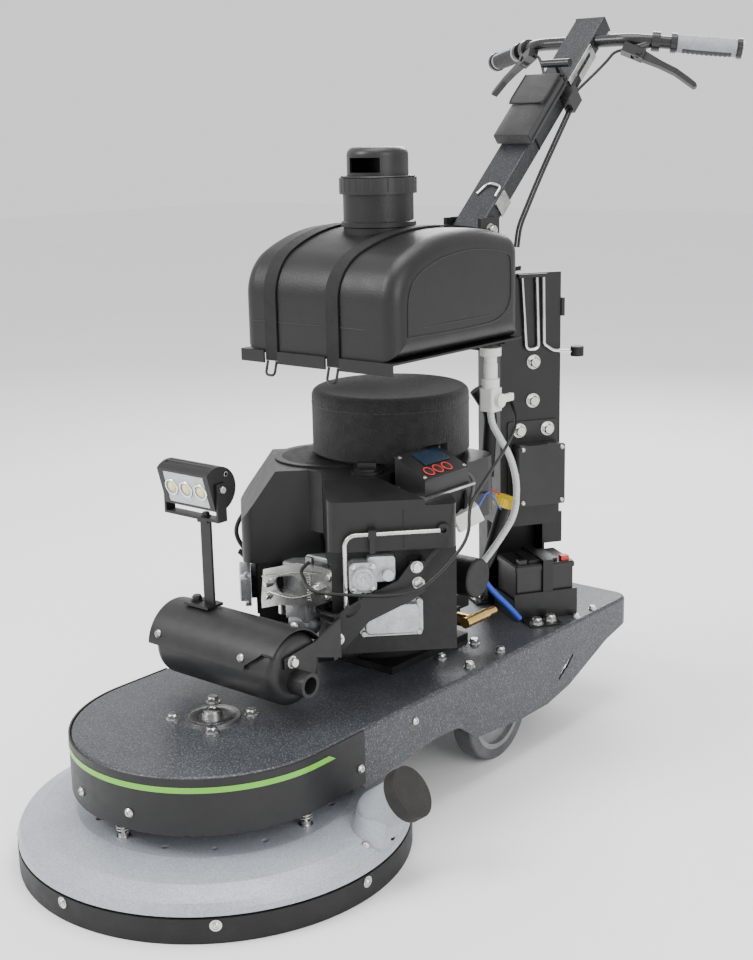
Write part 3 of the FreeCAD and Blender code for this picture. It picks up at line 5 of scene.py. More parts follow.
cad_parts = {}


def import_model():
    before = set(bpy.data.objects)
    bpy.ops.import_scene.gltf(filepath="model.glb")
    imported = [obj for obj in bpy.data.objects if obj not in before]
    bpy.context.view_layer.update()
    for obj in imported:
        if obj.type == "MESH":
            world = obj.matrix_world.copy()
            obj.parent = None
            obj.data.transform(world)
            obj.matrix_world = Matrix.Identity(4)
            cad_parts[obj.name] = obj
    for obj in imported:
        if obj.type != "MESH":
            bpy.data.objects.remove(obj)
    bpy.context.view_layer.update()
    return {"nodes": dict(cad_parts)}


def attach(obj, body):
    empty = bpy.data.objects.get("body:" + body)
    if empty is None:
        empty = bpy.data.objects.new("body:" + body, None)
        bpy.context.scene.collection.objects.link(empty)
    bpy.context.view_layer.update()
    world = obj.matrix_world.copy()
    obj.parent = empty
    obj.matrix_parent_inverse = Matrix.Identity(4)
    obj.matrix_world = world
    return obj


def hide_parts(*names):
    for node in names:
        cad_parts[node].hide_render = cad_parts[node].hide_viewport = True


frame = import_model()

N = frame["nodes"]
SC = bpy.context.scene

# ------------------------------------------------------------------ camera
cd = bpy.data.cameras.new("cam")
cam = bpy.data.objects.new("cam", cd)
SC.collection.objects.link(cam)
cd.lens = 54.0
cd.sensor_width = 36.0
cd.sensor_fit = "AUTO"
cd.clip_end = 60
R, U, B = Vector((.7719, .6353, -.0210)), Vector((-.1348, .1960, .9712)), Vector((.6212, -.7469, .2370))
B.normalize()
R = (R - B * R.dot(B)).normalized()
U = B.cross(R)
cam.matrix_world = Matrix(((R.x, U.x, B.x, 1.4233), (R.y, U.y, B.y, -1.3310), (R.z, U.z, B.z, 1.0079), (0, 0, 0, 1)))
SC.camera = cam


# ------------------------------------------------------------------ materials
def mat(name, base, rough=.5, metal=0., cvar=.14, cscale=25., fine=500., fvar=.10, rvar=.10, bump=(("NOISE", 900., .2, .0003),),
        coat=0., spec=.5, sheen=0., spots=None, trans=0., ior=1.45, alpha=1.):
    m = bpy.data.materials.new(name)
    m.use_nodes = True
    nt = m.node_tree
    nd, lk = nt.nodes, nt.links
    bs = nd["Principled BSDF"]
    bs.inputs["Metallic"].default_value = metal
    bs.inputs["Specular IOR Level"].default_value = spec
    bs.inputs["Coat Weight"].default_value = coat
    bs.inputs["Coat Roughness"].default_value = .15
    bs.inputs["Sheen Weight"].default_value = sheen
    bs.inputs["Sheen Roughness"].default_value = .5
    bs.inputs["Transmission Weight"].default_value = trans
    bs.inputs["IOR"].default_value = ior
    tc = nd.new("ShaderNodeTexCoord")

    def noise(scale, detail=4., rough_=.6):
        n = nd.new("ShaderNodeTexNoise")
        n.inputs["Scale"].default_value = scale
        n.inputs["Detail"].default_value = detail
        n.inputs["Roughness"].default_value = rough_
        lk.new(tc.outputs["Object"], n.inputs["Vector"])
        return n

    def ramp(src, a, b, ca, cb):
        r = nd.new("ShaderNodeValToRGB")
        r.color_ramp.elements[0].position = a
        r.color_ramp.elements[1].position = b
        r.color_ramp.elements[0].color = (*ca, 1)
        r.color_ramp.elements[1].color = (*cb, 1)
        lk.new(src, r.inputs[0])
        return r

    def mix(fac, a, b, kind="MIX"):
        x = nd.new("ShaderNodeMix")
        x.data_type = "RGBA"
        x.blend_type = kind
        if isinstance(fac, float):
            x.inputs[0].default_value = fac
        else:
            lk.new(fac, x.inputs[0])
        for s, v in ((6, a), (7, b)):
            if isinstance(v, tuple):
                x.inputs[s].default_value = (*v, 1)
            else:
                lk.new(v, x.inputs[s])
        return x.outputs[2]

    lo = tuple(c * (1 - cvar) for c in base)
    hi = tuple(min(1, c * (1 + cvar)) for c in base)
    c = ramp(noise(cscale).outputs["Fac"], .35, .65, lo, hi).outputs[0]
    f = ramp(noise(fine, 3.).outputs["Fac"], .35, .68, (1 - fvar,) * 3, (1 + fvar,) * 3).outputs[0]
    c = mix(1., c, f, "MULTIPLY")
    if spots:
        col, scale, t0, t1 = spots
        v = nd.new("ShaderNodeTexVoronoi")
        v.inputs["Scale"].default_value = scale
        lk.new(tc.outputs["Object"], v.inputs["Vector"])
        s = ramp(v.outputs["Distance"], t0, t1, (1, 1, 1), (0, 0, 0)).outputs[0]
        s2 = ramp(noise(scale * .8, 2.).outputs["Fac"], .45, .62, (0, 0, 0), (1, 1, 1)).outputs[0]
        s3 = mix(1., s, s2, "MULTIPLY")
        c = mix(s3, c, col)
    lk.new(c, bs.inputs["Base Color"])
    rr = nd.new("ShaderNodeMapRange")
    rr.inputs["To Min"].default_value = max(.02, rough - rvar)
    rr.inputs["To Max"].default_value = min(1, rough + rvar)
    lk.new(noise(cscale * 3.1).outputs["Fac"], rr.inputs["Value"])
    lk.new(rr.outputs[0], bs.inputs["Roughness"])
    last = None
    for kind, scale, strength, dist in bump:
        if kind == "NOISE":
            h = noise(scale, 2.5).outputs["Fac"]
        elif kind == "VOR":
            v = nd.new("ShaderNodeTexVoronoi")
            v.feature = "SMOOTH_F1"
            v.inputs["Scale"].default_value = scale
            lk.new(tc.outputs["Object"], v.inputs["Vector"])
            h = v.outputs["Distance"]
        elif kind in ("WX", "WY", "WZ"):
            w = nd.new("ShaderNodeTexWave")
            w.bands_direction = kind[1]
            w.inputs["Scale"].default_value = scale
            w.inputs["Distortion"].default_value = .6
            w.inputs["Detail Scale"].default_value = 2.
            lk.new(tc.outputs["Object"], w.inputs["Vector"])
            h = w.outputs["Fac"]
        b = nd.new("ShaderNodeBump")
        b.inputs["Strength"].default_value = strength
        b.inputs["Distance"].default_value = dist
        lk.new(h, b.inputs["Height"])
        if last:
            lk.new(last, b.inputs["Normal"])
        last = b.outputs[0]
    if last:
        lk.new(last, bs.inputs["Normal"])
    return m


HAM_D = mat("hammer_dark", (.045, .049, .056), .38, .25, .12, 12, 420, .35, .10, (("VOR", 330., .5, .0006), ("NOISE", 120., .12, .0006)), spots=((.24, .25, .27), 420., .1, .5))
HAM_L = mat("hammer_light", (.36, .385, .43), .40, .2, .07, 10, 380, .16, .10, (("VOR", 300., .4, .0006), ("NOISE", 100., .1, .0005)), spots=((.55, .57, .60), 380., .1, .45))
PORT = mat("cast_grey", (.36, .385, .42), .42, .1, .08, 20, 300, .08, .1, (("NOISE", 260., .2, .0004),))
COLM = mat("hammer_column", (.022, .024, .027), .40, .25, .14, 14, 420, .3, .1, (("VOR", 330., .5, .0006),), spots=((.12, .125, .13), 420., .1, .45))
PWD = mat("powder_black", (.006, .006, .0065), .42, 0, .2, 20, 700, .25, .1, (("NOISE", 1400., .3, .0002),))
BAND = mat("band_black", (.009, .009, .0095), .5, 0, .15, 20, 800, .2, .1, (("NOISE", 1500., .25, .0002),))
GREEN = mat("stripe_green", (.14, .46, .03), .4, 0, .06, 20, 600, .05, .08, (("NOISE", 900., .1, .0001),), coat=.3)
RUB = mat("rubber_black", (.008, .008, .008), .55, 0, .25, 18, 400, .25, .12, (("NOISE", 500., .2, .0003),), spec=.4)
RUBCAP = mat("rubber_cap", (.022, .021, .019), .62, 0, .2, 25, 500, .2, .1, (("NOISE", 700., .3, .0003),), spec=.35)
CABLE = mat("cable_black", (.006, .006, .006), .4, 0, .2, 30, 500, .15, .1, (("NOISE", 900., .1, .0002),))
ZINC = mat("zinc", (.62, .62, .60), .28, 1., .12, 60, 300, .1, .12, (("NOISE", 600., .12, .0002),))
ZPL = mat("zinc_plate", (.50, .50, .49), .33, 1., .22, 35, 260, .12, .14, (("NOISE", 420., .15, .0002),))
CHR = mat("chrome_wire", (.75, .75, .75), .14, 1., .06, 40, 300, .05, .06, (("NOISE", 300., .05, .0001),))
STL = mat("machined", (.42, .42, .42), .3, 1., .1, 40, 300, .1, .1, (("WZ", 300., .1, .0001),))
CAST = mat("cast_alloy", (.44, .45, .46), .45, .9, .16, 45, 420, .15, .14, (("NOISE", 520., .45, .0005), ("NOISE", 90., .12, .0006)))
BLKENG = mat("engine_black", (.008, .008, .0085), .48, .2, .25, 30, 420, .2, .12, (("NOISE", 420., .35, .0005),))
PLA = mat("housing_plastic", (.0055, .0055, .006), .40, 0, .2, 16, 800, .15, .10, (("NOISE", 1100., .25, .00025), ("NOISE", 35., .08, .002)), spec=.5)
TANK = mat("tank_plastic", (.0065, .0065, .007), .40, 0, .2, 10, 500, .25, .09, (("NOISE", 420., .42, .0007), ("NOISE", 14., .12, .004)), spec=.5)
FOAM = mat("foam", (.012, .012, .012), .92, 0, .3, 60, 700, .5, .06, (("VOR", 620., .9, .0012), ("NOISE", 300., .5, .0010)), spec=.2, sheen=.25)
WEB = mat("strap_web", (.008, .008, .008), .6, 0, .2, 30, 900, .3, .08, (("WX", 260., .5, .0003), ("WZ", 330., .4, .0003)), spec=.35)
NYL = mat("nylon", (.010, .010, .011), .62, 0, .25, 35, 900, .35, .08, (("WX", 420., .55, .0003), ("WZ", 420., .55, .0003)), spec=.3, sheen=.3)
HEAT = mat("heat_black", (.016, .016, .017), .44, .1, .25, 22, 600, .25, .12, (("NOISE", 900., .3, .0003),))
ABS = mat("abs_black", (.013, .013, .014), .38, 0, .18, 20, 800, .12, .08, (("NOISE", 1300., .2, .0002),))
BATT = mat("battery_case", (.012, .012, .012), .33, 0, .2, 18, 600, .15, .08, (("NOISE", 900., .15, .0002),))
YEL = mat("yellow_cap", (.84, .60, .03), .34, 0, .06, 30, 500, .05, .08, (("NOISE", 600., .1, .0002),), coat=.2)
RED = mat("red_moulded", (.58, .03, .02), .34, 0, .08, 30, 500, .05, .08, (("NOISE", 700., .1, .0002),), coat=.2)
BLUE = mat("blue_hose", (.02, .06, .45), .36, 0, .1, 30, 500, .06, .08, (("NOISE", 700., .1, .0002),), coat=.2)
WHT = mat("white_moulded", (.72, .72, .70), .42, 0, .05, 30, 500, .04, .08, (("NOISE", 700., .15, .0003),))
HOSE = mat("clear_hose", (.62, .64, .63), .28, 0, .07, 20, 300, .05, .08, (("WZ", 80., .08, .0004),), trans=.25, coat=.4)
BRS = mat("brass", (.66, .45, .16), .3, 1., .12, 40, 300, .1, .12, (("NOISE", 420., .15, .0003),))
PU = mat("wheel_grey", (.20, .205, .21), .46, 0, .14, 25, 400, .15, .1, (("NOISE", 500., .25, .0004),))
TYR = mat("wheel_tread", (.085, .085, .09), .6, 0, .2, 25, 400, .2, .1, (("NOISE", 420., .3, .0005),))
GRIPL = mat("grip_grey", (.27, .28, .30), .55, 0, .12, 30, 500, .12, .1, (("NOISE", 700., .25, .0003),))
GRIPD = mat("grip_dark", (.03, .03, .032), .55, 0, .15, 30, 500, .15, .1, (("VOR", 520., .45, .0004),))
ALEV = mat("lever_black", (.02, .02, .021), .36, .2, .2, 40, 500, .15, .1, (("NOISE", 600., .15, .0002),))
BARM = mat("bar_black", (.014, .014, .015), .3, .1, .15, 30, 500, .1, .1, (("NOISE", 800., .12, .0002),), coat=.2)
PADM = mat("pad", (.05, .045, .05), .85, 0, .3, 60, 600, .4, .08, (("VOR", 400., .8, .0012),))
LCD = mat("lcd", (.010, .022, .045), .12, 0, .1, 20, 300, .05, .04, (("NOISE", 50., .02, .0002),), coat=.8)
LENS = mat("lamp_lens", (.80, .82, .84), .1, 0, .06, 60, 300, .05, .05, (("NOISE", 90., .05, .0004),), trans=.55, coat=.6)
REFL = mat("reflector", (.85, .86, .88), .16, 1., .1, 60, 300, .05, .08, (("VOR", 140., .4, .0008),))
LED = mat("led_chip", (.9, .82, .35), .3, 0, .1, 300, 900, .1, .05, (("NOISE", 900., .1, .0001),))
GREYH = mat("shroud_inside", (.08, .08, .085), .6)
SLV = mat("alloy_satin", (.6, .61, .62), .3, 1., .08, 60, 400, .08, .1, (("NOISE", 700., .1, .0002),))


def components(o):
    me = o.data
    nv = len(me.vertices)
    co = np.empty(nv * 3, np.float32)
    me.vertices.foreach_get("co", co)
    co = co.reshape(-1, 3)
    _, inv = np.unique(np.round(co, 6), axis=0, return_inverse=True)
    inv = inv.reshape(-1)
    par = list(range(int(inv.max()) + 1))

    def find(a):
        while par[a] != a:
            par[a] = par[par[a]]
            a = par[a]
        return a
    polys = []
    for p in me.polygons:
        vs = [int(inv[v]) for v in p.vertices]
        polys.append(vs[0])
        r = find(vs[0])
        for v in vs[1:]:
            q = find(v)
            if q != r:
                par[q] = r
    groups = {}
    for i, v in enumerate(polys):
        groups.setdefault(find(v), []).append(i)
    out = []
    for g in groups.values():
        vs = np.unique(np.array([v for i in g for v in me.polygons[i].vertices]))
        q = co[vs]
        out.append((g, q.min(0), q.max(0)))
    return out


def paint(name, default, *rules):
    """one material for the node, or one per solid: rule = (test(centre, size), material)"""
    o = N[name]
    me = o.data
    me.materials.clear()
    ms = [default] + [r[1] for r in rules]
    for m in ms:
        me.materials.append(m)
    for p in me.polygons:
        p.material_index = 0
    if rules:
        for g, lo, hi in components(o):
            c, s = (lo + hi) / 2 * 1000, (hi - lo) * 1000
            for k, (test, m) in enumerate(rules):
                if test(c, s):
                    for i in g:
                        me.polygons[i].material_index = k + 1
                    break


paint("deck", HAM_D)
paint("wheel_brackets", HAM_D)
paint("battery_tray", PWD)
paint("shroud", HAM_L)
paint("dust_port", PORT)
paint("front_band", BAND, (lambda c, s: s[2] < 12, GREEN))
for n in ("tank_shelf", "lamp_bracket"):
    paint(n, PWD)
paint("tower", PWD, (lambda c, s: s[2] > 100 and s[2] < 200, CHR), (lambda c, s: s[2] < 20 and s[0] < 25 and c[2] < 660, RUB))
paint("control_box", ABS, (lambda c, s: 370 < c[1] < 450, WHT))
paint("column", COLM)
paint("column_bracket", PWD)
paint("rubber_skirt", RUB)
paint("port_cap", RUBCAP)
paint("drive_belt", RUB)
paint("throttle_cable", CABLE)
paint("chassis_bolts", ZINC, (lambda c, s: c[0] < -20 and c[2] > 320 and c[1] < 80, PWD))
paint("shroud_posts", ZINC)
paint("shroud_springs", ZINC)
paint("engine_brackets", PWD, (lambda c, s: 170 < c[1] < 215 and s[1] < 60, ZPL))
paint("fan_screen", BLKENG)
paint("throttle_controls", ZPL, (lambda c, s: s[2] > 150, CABLE), (lambda c, s: 900 < c[2] < 920 and s[0] > 20, CHR), (lambda c, s: s[0] > 12 and s[0] < 17.9, BARM))
paint("cylinder_baffles", BLKENG)
paint("spindle", STL)
paint("crankshaft", STL)
paint("muffler", HEAT)
paint("heat_shield", HEAT)
paint("handlebar", BARM, (lambda c, s: abs(c[0]) > 150 and s[0] < 25, SLV))
paint("engine_block", BLKENG)
paint("valve_covers", CAST)
paint("bearing_housing", ZPL)
paint("flywheel_fan", CAST)
paint("fuel_system", CAST, (lambda c, s: s[2] > 100, ZINC), (lambda c, s: s[2] < 50 and s[0] < 20 and c[2] > 420, PWD))
paint("fan_housing", PLA)
paint("housing_knob", PLA)
paint("tank_cap", ABS)
paint("foam_prefilter", FOAM)
paint("water_tank", TANK)
paint("tank_straps", WEB)
paint("oil_filter", BLKENG, (lambda c, s: c[2] < 260, BRS))
paint("oil_filler_tube", BLKENG)
paint("battery", BATT, (lambda c, s: s[0] < 30 and c[0] > 140, RED))
paint("display_unit", ABS, (lambda c, s: s[2] < 18 and s[1] > 55 and s[1] < 65, LCD), (lambda c, s: s[1] > 130, ZPL))
paint("work_light", PWD, (lambda c, s: s[1] < 15, LENS), (lambda c, s: s[1] < 16.5, REFL))
paint("oil_cap", YEL)
paint("water_valve", WHT)
paint("hoses", HOSE, (lambda c, s: s[2] < 100, BLUE), (lambda c, s: c[2] > 500 and c[0] < 90, RUB))
paint("valve_lever", WHT)
for i in (1, 2, 3):
    paint("display_button_%d" % i, ABS)
paint("lever_left", ALEV)
paint("lever_right", ALEV)
paint("t_handle", BARM)
paint("wheel_left", TYR, (lambda c, s: s[1] < 130, PU))
paint("wheel_right", TYR, (lambda c, s: s[1] < 130, PU))
paint("grinding_pad", PADM)


# ------------------------------------------------------------------ mesh helpers
def obj(name, bm, m, body, smooth=True, bevel=0., subsurf=0):
    me = bpy.data.meshes.new(name)
    bmesh.ops.recalc_face_normals(bm, faces=bm.faces)
    bm.to_mesh(me)
    bm.free()
    o = bpy.data.objects.new(name, me)
    SC.collection.objects.link(o)
    for mm in (m if isinstance(m, (list, tuple)) else [m]):
        me.materials.append(mm)
    if smooth:
        for p in me.polygons:
            p.use_smooth = True
    if bevel:
        b = o.modifiers.new("bevel", "BEVEL")
        b.width = bevel
        b.segments = 3
        b.limit_method = "ANGLE"
        b.angle_limit = math.radians(40)
    if subsurf:
        s = o.modifiers.new("sub", "SUBSURF")
        s.levels = s.render_levels = subsurf
    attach(o, body)
    return o


def basis(axis):
    a = Vector(axis).normalized()
    ref = Vector((1, 0, 0)) if abs(a.x) < .9 else Vector((0, 1, 0))
    u = a.cross(ref).normalized()
    return a, u, a.cross(u)


def lathe_at(name, p, axis, rh, m, body, seg=48, bevel=0.):
    """revolve (radius, height) points round an axis from p, mm"""
    a, u, w = basis(axis)
    p = Vector(p)
    bm = bmesh.new()
    rings = []
    for r, h in rh:
        if r < 1e-6:
            rings.append([bm.verts.new((p + a * h) / 1000)])
        else:
            rings.append([bm.verts.new((p + a * h + (u * math.cos(2 * math.pi * k / seg) + w * math.sin(2 * math.pi * k / seg)) * r) / 1000) for k in range(seg)])
    for A, C in zip(rings, rings[1:]):
        for k in range(seg):
            k2 = (k + 1) % seg
            if len(A) == 1 and len(C) > 1:
                bm.faces.new((A[0], C[k], C[k2]))
            elif len(C) == 1 and len(A) > 1:
                bm.faces.new((A[k], A[k2], C[0]))
            elif len(A) > 1:
                bm.faces.new((A[k], A[k2], C[k2], C[k]))
    o = obj(name, bm, m, body, True, bevel)
    md = o.modifiers.new("es", "EDGE_SPLIT")
    md.split_angle = math.radians(38)
    return o


def tube(name, pts, r, m, body, cyclic=False, kind="NURBS"):
    cu = bpy.data.curves.new(name, "CURVE")
    cu.dimensions = "3D"
    cu.bevel_depth = r / 1000
    cu.bevel_resolution = 4
    cu.resolution_u = 10
    cu.use_fill_caps = True
    sp = cu.splines.new(kind)
    sp.points.add(len(pts) - 1)
    for q, p in zip(sp.points, pts):
        q.co = (p[0] / 1000, p[1] / 1000, p[2] / 1000, 1)
    if kind == "NURBS":
        sp.order_u = 3
        sp.use_endpoint_u = not cyclic
    sp.use_cyclic_u = cyclic
    cu.materials.append(m)
    o = bpy.data.objects.new(name, cu)
    SC.collection.objects.link(o)
    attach(o, body)
    return o


C42, S42 = math.cos(math.radians(42)), math.sin(math.radians(42))


def colp(x, s, n):
    return Vector((x, 640 + C42 * s - S42 * n, 840.4 + S42 * s + C42 * n))


CY = Vector((0, C42, S42))
CN = Vector((0, -S42, C42))

# ------------------------------------------------------------------ tank: moulded seam and end panels
for sx in (-1, 1):
    pts = [(sx * 151.6, y, z) for y, z in [(276, 716), (276, 764), (283, 788.2), (302, 804.8), (332, 816.5), (359, 824.2), (419, 830.8), (476, 827.2), (520, 818.6), (532, 814), (535.8, 803), (535.8, 716), (400, 713), (276, 716)]]
    tube("tank_end_panel_bead_%s" % ("l" if sx > 0 else "r"), pts, 1.3, TANK, "chassis", True)
x, y0, y1, z, q = 151.5, 246.0, 565.8, 727, 26
loop = [(-x + q, y0, z), (x - q, y0, z), (x - 7.6, y0 + 7.6, z), (x, y0 + q, z), (x, y1 - q, z), (x - 7.6, y1 - 7.6, z), (x - q, y1, z),
        (-x + q, y1, z), (-x + 7.6, y1 - 7.6, z), (-x, y1 - q, z), (-x, y0 + q, z), (-x + 7.6, y0 + 7.6, z), (-x + q, y0, z)]
tube("tank_parting_line", loop, 1.0, TANK, "chassis", True)
# neck bead and cap details
lathe_at("tank_neck_collar", (0, 399, 862), (0, 0, 1), [(54.2, 0), (57.5, 1.5), (57.5, 8), (54.2, 10)], TANK, "chassis", 64)
lathe_at("tank_cap_rib_ring", (0, 399, 931), (0, 0, 1), [(47.2, 5.4), (56, 5.4), (57.5, 6.4), (56, 8), (47.2, 8)], ABS, "tank_cap", 64)

# ------------------------------------------------------------------ foam seam
lathe_at("foam_seam", (0, 419, 590), (0, 0, 1), [(124.6, -1.6), (125.7, 0), (124.6, 1.6)], FOAM, "chassis", 96)

# ------------------------------------------------------------------ lamp details
lx = (-108, -78, -48)
ln = Vector((0, -.966, -.259))
lc = Vector((0, 60, 512))
for i, x in enumerate(lx):
    c = Vector((x, 60, 512)) + ln * 14.4 - ln * 0
    lathe_at("lamp_ring_%d" % i, Vector((x, 60, 512)) + ln * 16.4, ln, [(10.0, 0), (12.6, 0), (13.2, .9), (12.6, 1.5), (10.4, 1.5)], REFL, "work_light", 40)
    lathe_at("lamp_led_%d" % i, Vector((x, 60, 512)) + ln * 16.4, ln, [(7.6, 0), (6.6, 1.1), (3.0, 1.9), (0, 2.1)], LED, "work_light", 32)
for sx, x in ((-1, -130.0), (1, -26.0)):
    for q in ((14, 20), (-4, -24)):
        lathe_at("lamp_end_screw_%d_%d" % (sx, q[0]), (x, 60 + q[0], 512 + q[1]), (sx, 0, 0), [(0, 0), (3.6, 0), (3.6, .2), (2.6, .25)], ZINC, "work_light", 20)

# ------------------------------------------------------------------ display: rings and button faces
T = math.radians(26.9)
TN = Vector((math.sin(T), 0, math.cos(T)))
for i, y in enumerate((318, 340, 362)):
    c = Vector((152.5, y, 510.6))
    lathe_at("button_ring_%d" % i, c + TN * 1.5, TN, [(7.6, 0), (9.4, 0), (9.6, .7), (8.6, 1.1), (7.6, .8)], RED, "chassis", 36)
    lathe_at("button_face_%d" % i, c + TN * 1.62, TN, [(6.4, 0), (6.2, .5), (3.0, .8), (0, .85)], ABS, "button_%d" % (i + 1), 36)
for y in (299, 397):
    for x, z in ((113, 530.9), (160, 507.1)):
        lathe_at("panel_screw_%d_%d" % (y, x), Vector((x, y, z)) + TN * .4, TN, [(3.4, 0), (3.3, .9), (2.2, 1.4), (1.2, 1.3), (1.1, .6), (0, .6)], ZINC, "chassis", 20)

# ------------------------------------------------------------------ pouch: sewn body and flap
def soft_box(name, w0, w1, s0, s1, n0, n1, m, body, sag=2.2, nx=14, ns=16, roundness=.75, replace=None):
    bm = bmesh.new()
    top = []
    for j in range(ns + 1):
        row = []
        for i in range(nx + 1):
            a, b = i / nx * 2 - 1, j / ns * 2 - 1
            s = s0 + (s1 - s0) * j / ns
            w = w0 + (w1 - w0) * j / ns
            crown = (1 - abs(a) ** 3.2) * (1 - abs(b) ** 4)
            wob = .5 * math.sin(5 * a + 3.1 * b) + .35 * math.sin(9 * b + 2 * a)
            n = n0 + (n1 - n0) * (roundness + (1 - roundness) * crown) + wob * crown * .6
            row.append(bm.verts.new(colp(a * w * (1 - .02 * b * b), s, n) / 1000))
        top.append(row)
    bot = []
    for j in range(ns + 1):
        row = []
        for i in range(nx + 1):
            a = i / nx * 2 - 1
            s = s0 + (s1 - s0) * j / ns
            w = w0 + (w1 - w0) * j / ns
            row.append(bm.verts.new(colp(a * w, s, n0) / 1000))
        bot.append(row)
    for j in range(ns):
        for i in range(nx):
            bm.faces.new((top[j][i], top[j][i + 1], top[j + 1][i + 1], top[j + 1][i]))
            bm.faces.new((bot[j][i], bot[j + 1][i], bot[j + 1][i + 1], bot[j][i + 1]))
    for j in range(ns):
        bm.faces.new((top[j][0], top[j + 1][0], bot[j + 1][0], bot[j][0]))
        bm.faces.new((top[j][nx], bot[j][nx], bot[j + 1][nx], top[j + 1][nx]))
    for i in range(nx):
        bm.faces.new((top[0][i], bot[0][i], bot[0][i + 1], top[0][i + 1]))
        bm.faces.new((top[ns][i], top[ns][i + 1], bot[ns][i + 1], bot[ns][i]))
    return obj(name, bm, m, body, True, .0016, 1)


po = soft_box("pouch_shell", 36.5, 35.5, 187, 331, 15.6, 42.2, NYL, "handle")
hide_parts("pouch")
fl = soft_box("pouch_flap_cloth", 35.5, 35.5, 256.5, 330.4, 42.6, 45.4, NYL, "pouch_flap", ns=14, roundness=.5)
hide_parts("pouch_flap")
tube("pouch_flap_binding", [colp(x, s, 43.9) for x, s in ((-35.3, 329), (-35.6, 300), (-35.6, 262), (-31, 257.2), (0, 256.6), (31, 257.2), (35.6, 262), (35.6, 300), (35.3, 329))], 1.5, WEB, "pouch_flap")
for sx in (-1, 1):
    st = [(sx * 32.6, 326 - 3.4 * k) for k in range(20)]
    for k in range(0, 20, 2):
        tube("pouch_stitch_%d_%d" % (sx, k), [colp(st[k][0], st[k][1], 45.2), colp(st[k][0], st[k][1] - 2.6, 45.2)], .35, GRIPD, "pouch_flap", kind="POLY")
tube("pouch_binding_l", [colp(36.2, 190, 22), colp(36.6, 230, 24), colp(36.4, 300, 24), colp(36, 328, 24)], 1.4, WEB, "handle")
tube("pouch_binding_r", [colp(-36.2, 190, 22), colp(-36.6, 230, 24), colp(-36.4, 300, 24), colp(-36, 328, 24)], 1.4, WEB, "handle")
# retaining strap round the column
for s in (205, 312):
    tube("pouch_strap_%d" % s, [colp(-31.6, s, 15), colp(-31.8, s, 0), colp(-31.4, s, -16.4), colp(0, s, -16.6), colp(31.4, s, -16.4), colp(31.8, s, 0), colp(31.6, s, 15)], 1.3, WEB, "handle")

# ------------------------------------------------------------------ grips: ribbed two-tone moulding
hby, hbz = 640 + C42 * 463, 840.4 + S42 * 463
G0 = Vector((95, hby, hbz))
GD = (Vector((259, 1087, 1129)) - G0).normalized()
grip_objs = []
for sx in (-1, 1):
    g0 = Vector((sx * G0.x, G0.y, G0.z))
    gd = Vector((sx * GD.x, GD.y, GD.z))
    a, u, w = basis(gd)
    bm = bmesh.new()
    NS, NR = 40, 104
    prev = None
    for j in range(NR + 1):
        s = 82.2 + 103.6 * j / NR
        t = j / NR
        belly = 1.1 * math.sin(math.pi * t)
        row = []
        for k in range(NS):
            th = 2 * math.pi * k / NS
            r = 15.0 + belly
            front = math.cos(th - 0.6)
            if .12 < t < .9 and front > .25:
                r += .5 * (1 if (j // 4) % 2 else -1)
            if j in (0, NR):
                r -= 1.2
            row.append(bm.verts.new((g0 + gd * s + (u * math.cos(th) + w * math.sin(th)) * r) / 1000))
        if prev:
            for k in range(NS):
                f = bm.faces.new((prev[k], prev[(k + 1) % NS], row[(k + 1) % NS], row[k]))
                th = 2 * math.pi * (k + .5) / NS
                f.material_index = 1 if (math.cos(th - .6) > .25 and .1 < t < .92) else 0
        else:
            inner0 = [bm.verts.new((g0 + gd * s + (u * math.cos(2 * math.pi * k / NS) + w * math.sin(2 * math.pi * k / NS)) * 11.2) / 1000) for k in range(NS)]
            for k in range(NS):
                bm.faces.new((row[k], inner0[k], inner0[(k + 1) % NS], row[(k + 1) % NS]))
        prev = row
    inner1 = [bm.verts.new((g0 + gd * 185.8 + (u * math.cos(2 * math.pi * k / NS) + w * math.sin(2 * math.pi * k / NS)) * 11.2) / 1000) for k in range(NS)]
    for k in range(NS):
        bm.faces.new((prev[k], prev[(k + 1) % NS], inner1[(k + 1) % NS], inner1[k]))
    g = obj("grip_moulding_%s" % ("l" if sx > 0 else "r"), bm, [GRIPL, GRIPD], "handle")
    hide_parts("grips")

# ------------------------------------------------------------------ engine dressing
def lp(L, t, z):
    return (0.7071 * L + 0.7071 * t, 378 - 0.7071 * L + 0.7071 * t, z)


def lq(L, t, z):
    # left cylinder frame
    a = math.radians(-135)
    return (L * math.cos(a) - t * math.sin(a), 378 + L * math.sin(a) + t * math.cos(a), z)


for nm, f, s in (("r", lp, 1), ("l", lq, -1)):
    tube("plug_lead_" + nm, [f(205, s * 30, 345), f(222, s * 34, 362), f(226, s * 46, 392), f(206, s * 70, 408)], 3.6, RUB, "chassis")
    lathe_at("plug_boot_" + nm, f(201, s * 30, 338), Vector(f(1, 0, 0)) - Vector(f(0, 0, 0)) + Vector((0, 0, .6)), [(0, -2), (6.5, -2), (7.5, 0), (7.5, 12), (5, 20), (4, 24), (0, 24)], RUB, "chassis", 28)
